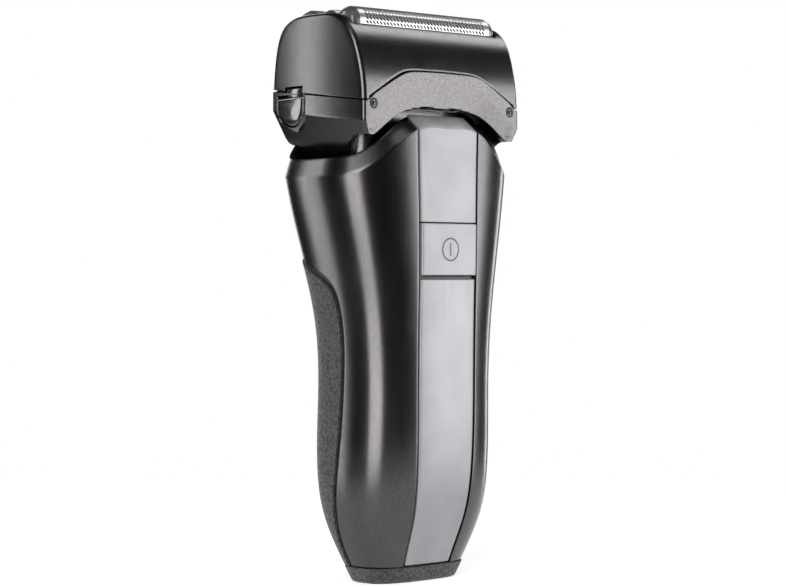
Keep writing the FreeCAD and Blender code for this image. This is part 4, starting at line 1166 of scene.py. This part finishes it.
# ---------------- the object
def build_handle():
    place_piece(make_housing(), "handle", "housing_plastic", "main_housing")
    place_piece(make_grip(), "handle", "grip_elastomer", "rear_grip")
    place_piece(make_backing(), "handle", "black_plastic", "rear_cover")
    place_piece(make_carrier(), "handle", "black_plastic", "strip_carrier")
    upper = make_plate("upper_panel_plate", BUTTON_HIGH + 0.4, RIM_FRONT - 0.1, 0.0, 1.2, 0.3, 60)
    place_piece(upper, "handle", "panel_silver", "upper_panel")
    lower = make_plate("lower_panel_plate", 4.95, BUTTON_LOW - 1.1, 0.0, 1.2, 0.3, 150)
    place_piece(lower, "handle", "panel_silver", "lower_panel")
    key = make_plate("power_key", BUTTON_LOW, BUTTON_HIGH, 0.5, 1.4, 0.35, 30)
    place_piece(key, "power_key", "panel_silver", "power_button")
    for mark in make_icon():
        place_piece(mark, "power_key", "key_mark")
    place_piece(make_foot(), "handle", "grip_elastomer")
    place_piece(make_bellows(), "handle", "seal_rubber", "neck_seal")


def build_head():
    place_piece(make_base(), "head", "housing_plastic", "head_base")
    place_piece(make_neck(), "head", "housing_plastic")
    place_piece(make_frame(), "frame", "housing_plastic", "foil_frame")
    # black rings round the catch pins: painted shade in place of the recess round each pin
    place_piece(make_catches("catch_socket_shade_rings", SOCKET_SHADE_RING), "head", "black_plastic")
    place_piece(make_catches("catch_pins", PIN), "head", "gloss_black", "frame_catch_pins")
    for name, side in (("left", -1), ("right", 1)):
        key, hook = make_release(f"release_key_{name}", side)
        place_piece(key, f"release_{name}", "gloss_black", f"release_button_{name}")
        place_piece(hook, f"release_{name}", "gloss_black")
        place_piece(make_bezel(f"release_bezel_{name}", side), "head", "gloss_black")
    for name, side in (("front", -1), ("rear", 1)):
        centre = HEAD_Y + side * ROW_PITCH
        foil = make_foil(f"{name}_foil_sheet", centre)
        place_piece(foil, f"{name}_cassette", "foil_steel", f"{name}_foil")
        caps = make_caps(f"{name}_end_caps", centre, FOIL_HALF, RIDGE)
        place_piece(caps, f"{name}_cassette", "cap_plastic", f"{name}_foil_caps")
    place_piece(make_slit(), "middle_cassette", "foil_steel", "middle_foil")
    caps = make_caps("middle_end_caps", HEAD_Y, SLIT_HALF, RIDGE - SLIT_DROP)
    place_piece(caps, "middle_cassette", "cap_plastic", "middle_foil_caps")


def paint_nodes():
    """Every CAD node that stays gets the material of its slot."""
    slots = {part["node"]: part["material_slot"] for part in frame["record"]["subparts"]}
    for name, obj in NODES.items():
        paint(obj, slots[name])
        for polygon in obj.data.polygons:
            polygon.use_smooth = False


# ---------------- studio
def soft_light(name, angle, distance, height, size, radiance):
    """A softbox at an angle from the front (positive towards +X), facing the shaver."""
    data = bpy.data.lights.new(name, "AREA")
    data.shape = "RECTANGLE"
    data.size, data.size_y = size
    data.energy = radiance * math.pi * size[0] * size[1]
    light = add_object(name, data)
    turn = math.radians(angle)
    light.location = (distance * math.sin(turn), -distance * math.cos(turn), height)
    aim = Vector((0, 0, 0.09)) - light.location
    light.rotation_euler = aim.to_track_quat("-Z", "Y").to_euler()
    return light


def make_floor():
    """A round pale floor that fades into the white surroundings."""
    mesh = bpy.data.meshes.new("studio_floor")
    reach, count = 1.2, 96
    turns = [2 * math.pi * i / count for i in range(count)]
    edge = [(reach * math.cos(t), reach * math.sin(t), 0) for t in turns]
    mesh.from_pydata(edge, [], [tuple(range(count))])
    floor = add_object("studio_floor", mesh)
    mat, tree, shader = material("studio_white", (0.92, 0.92, 0.92), 0.0, 0.9)
    shader.inputs["Specular IOR Level"].default_value = 0.1
    shader.inputs["Emission Color"].default_value = (1, 1, 1, 1)
    shader.inputs["Emission Strength"].default_value = 0.52
    away = add_node(tree, "VectorMath", {"operation": "LENGTH"}, links={0: object_place(tree)})
    values = {"From Min": 0.08, "From Max": 0.36, "To Min": 1.0, "To Max": 0.0}
    links = {"Value": away.outputs["Value"]}
    fade = add_node(tree, "MapRange", {"interpolation_type": "SMOOTHSTEP"}, values, links)
    tree.links.new(fade.outputs["Result"], shader.inputs["Alpha"])
    floor.data.materials.append(mat)


def make_world():
    """White behind the object, and dim all round for what the surfaces reflect."""
    world = bpy.data.worlds.new("studio_world")
    bpy.context.scene.world = world
    world.use_nodes = True
    tree = world.node_tree
    background = tree.nodes["Background"]
    background.inputs["Color"].default_value = (1, 1, 1, 1)
    seen = add_node(tree, "LightPath").outputs["Is Camera Ray"]
    tree.links.new(span(tree, seen, 0.05, 1.0), background.inputs["Strength"])


def make_studio():
    make_floor()
    make_world()
    soft_light("key_softbox", -62, 1.25, 0.35, (0.85, 1.3), 6.0)
    soft_light("front_softbox", 46, 1.25, 0.06, (0.75, 0.95), 5.5)
    soft_light("left_strip", -140, 1.2, 0.25, (0.2, 1.1), 6.0)
    soft_light("right_strip", 100, 1.2, 0.25, (0.14, 1.1), 6.0)
    soft_light("right_top_softbox", 80, 0.8, 0.95, (0.4, 0.4), 5.0)
    soft_light("back_softbox", 160, 1.3, 0.45, (0.6, 1.1), 2.5)
    soft_light("top_softbox", -20, 0.45, 1.15, (0.5, 0.5), 1.2)


def make_camera():
    """The photograph's view: level, 0.67 m away, towards the front from the left."""
    side = math.radians(43.5)
    distance, eye = 0.672, 0.0865
    data = bpy.data.cameras.new("camera")
    data.sensor_width = 36.0
    data.lens = 107.6
    data.shift_x = -0.0089
    data.shift_y = -0.0235
    data.clip_start = 0.01
    camera = add_object("camera", data)
    camera.location = (-distance * math.sin(side), -distance * math.cos(side), eye)
    camera.rotation_euler = (math.pi / 2, 0, -side)
    bpy.context.scene.camera = camera


build_handle()
build_head()
paint_nodes()
make_studio()
make_camera()
bpy.context.scene.view_settings.view_transform = "Standard"
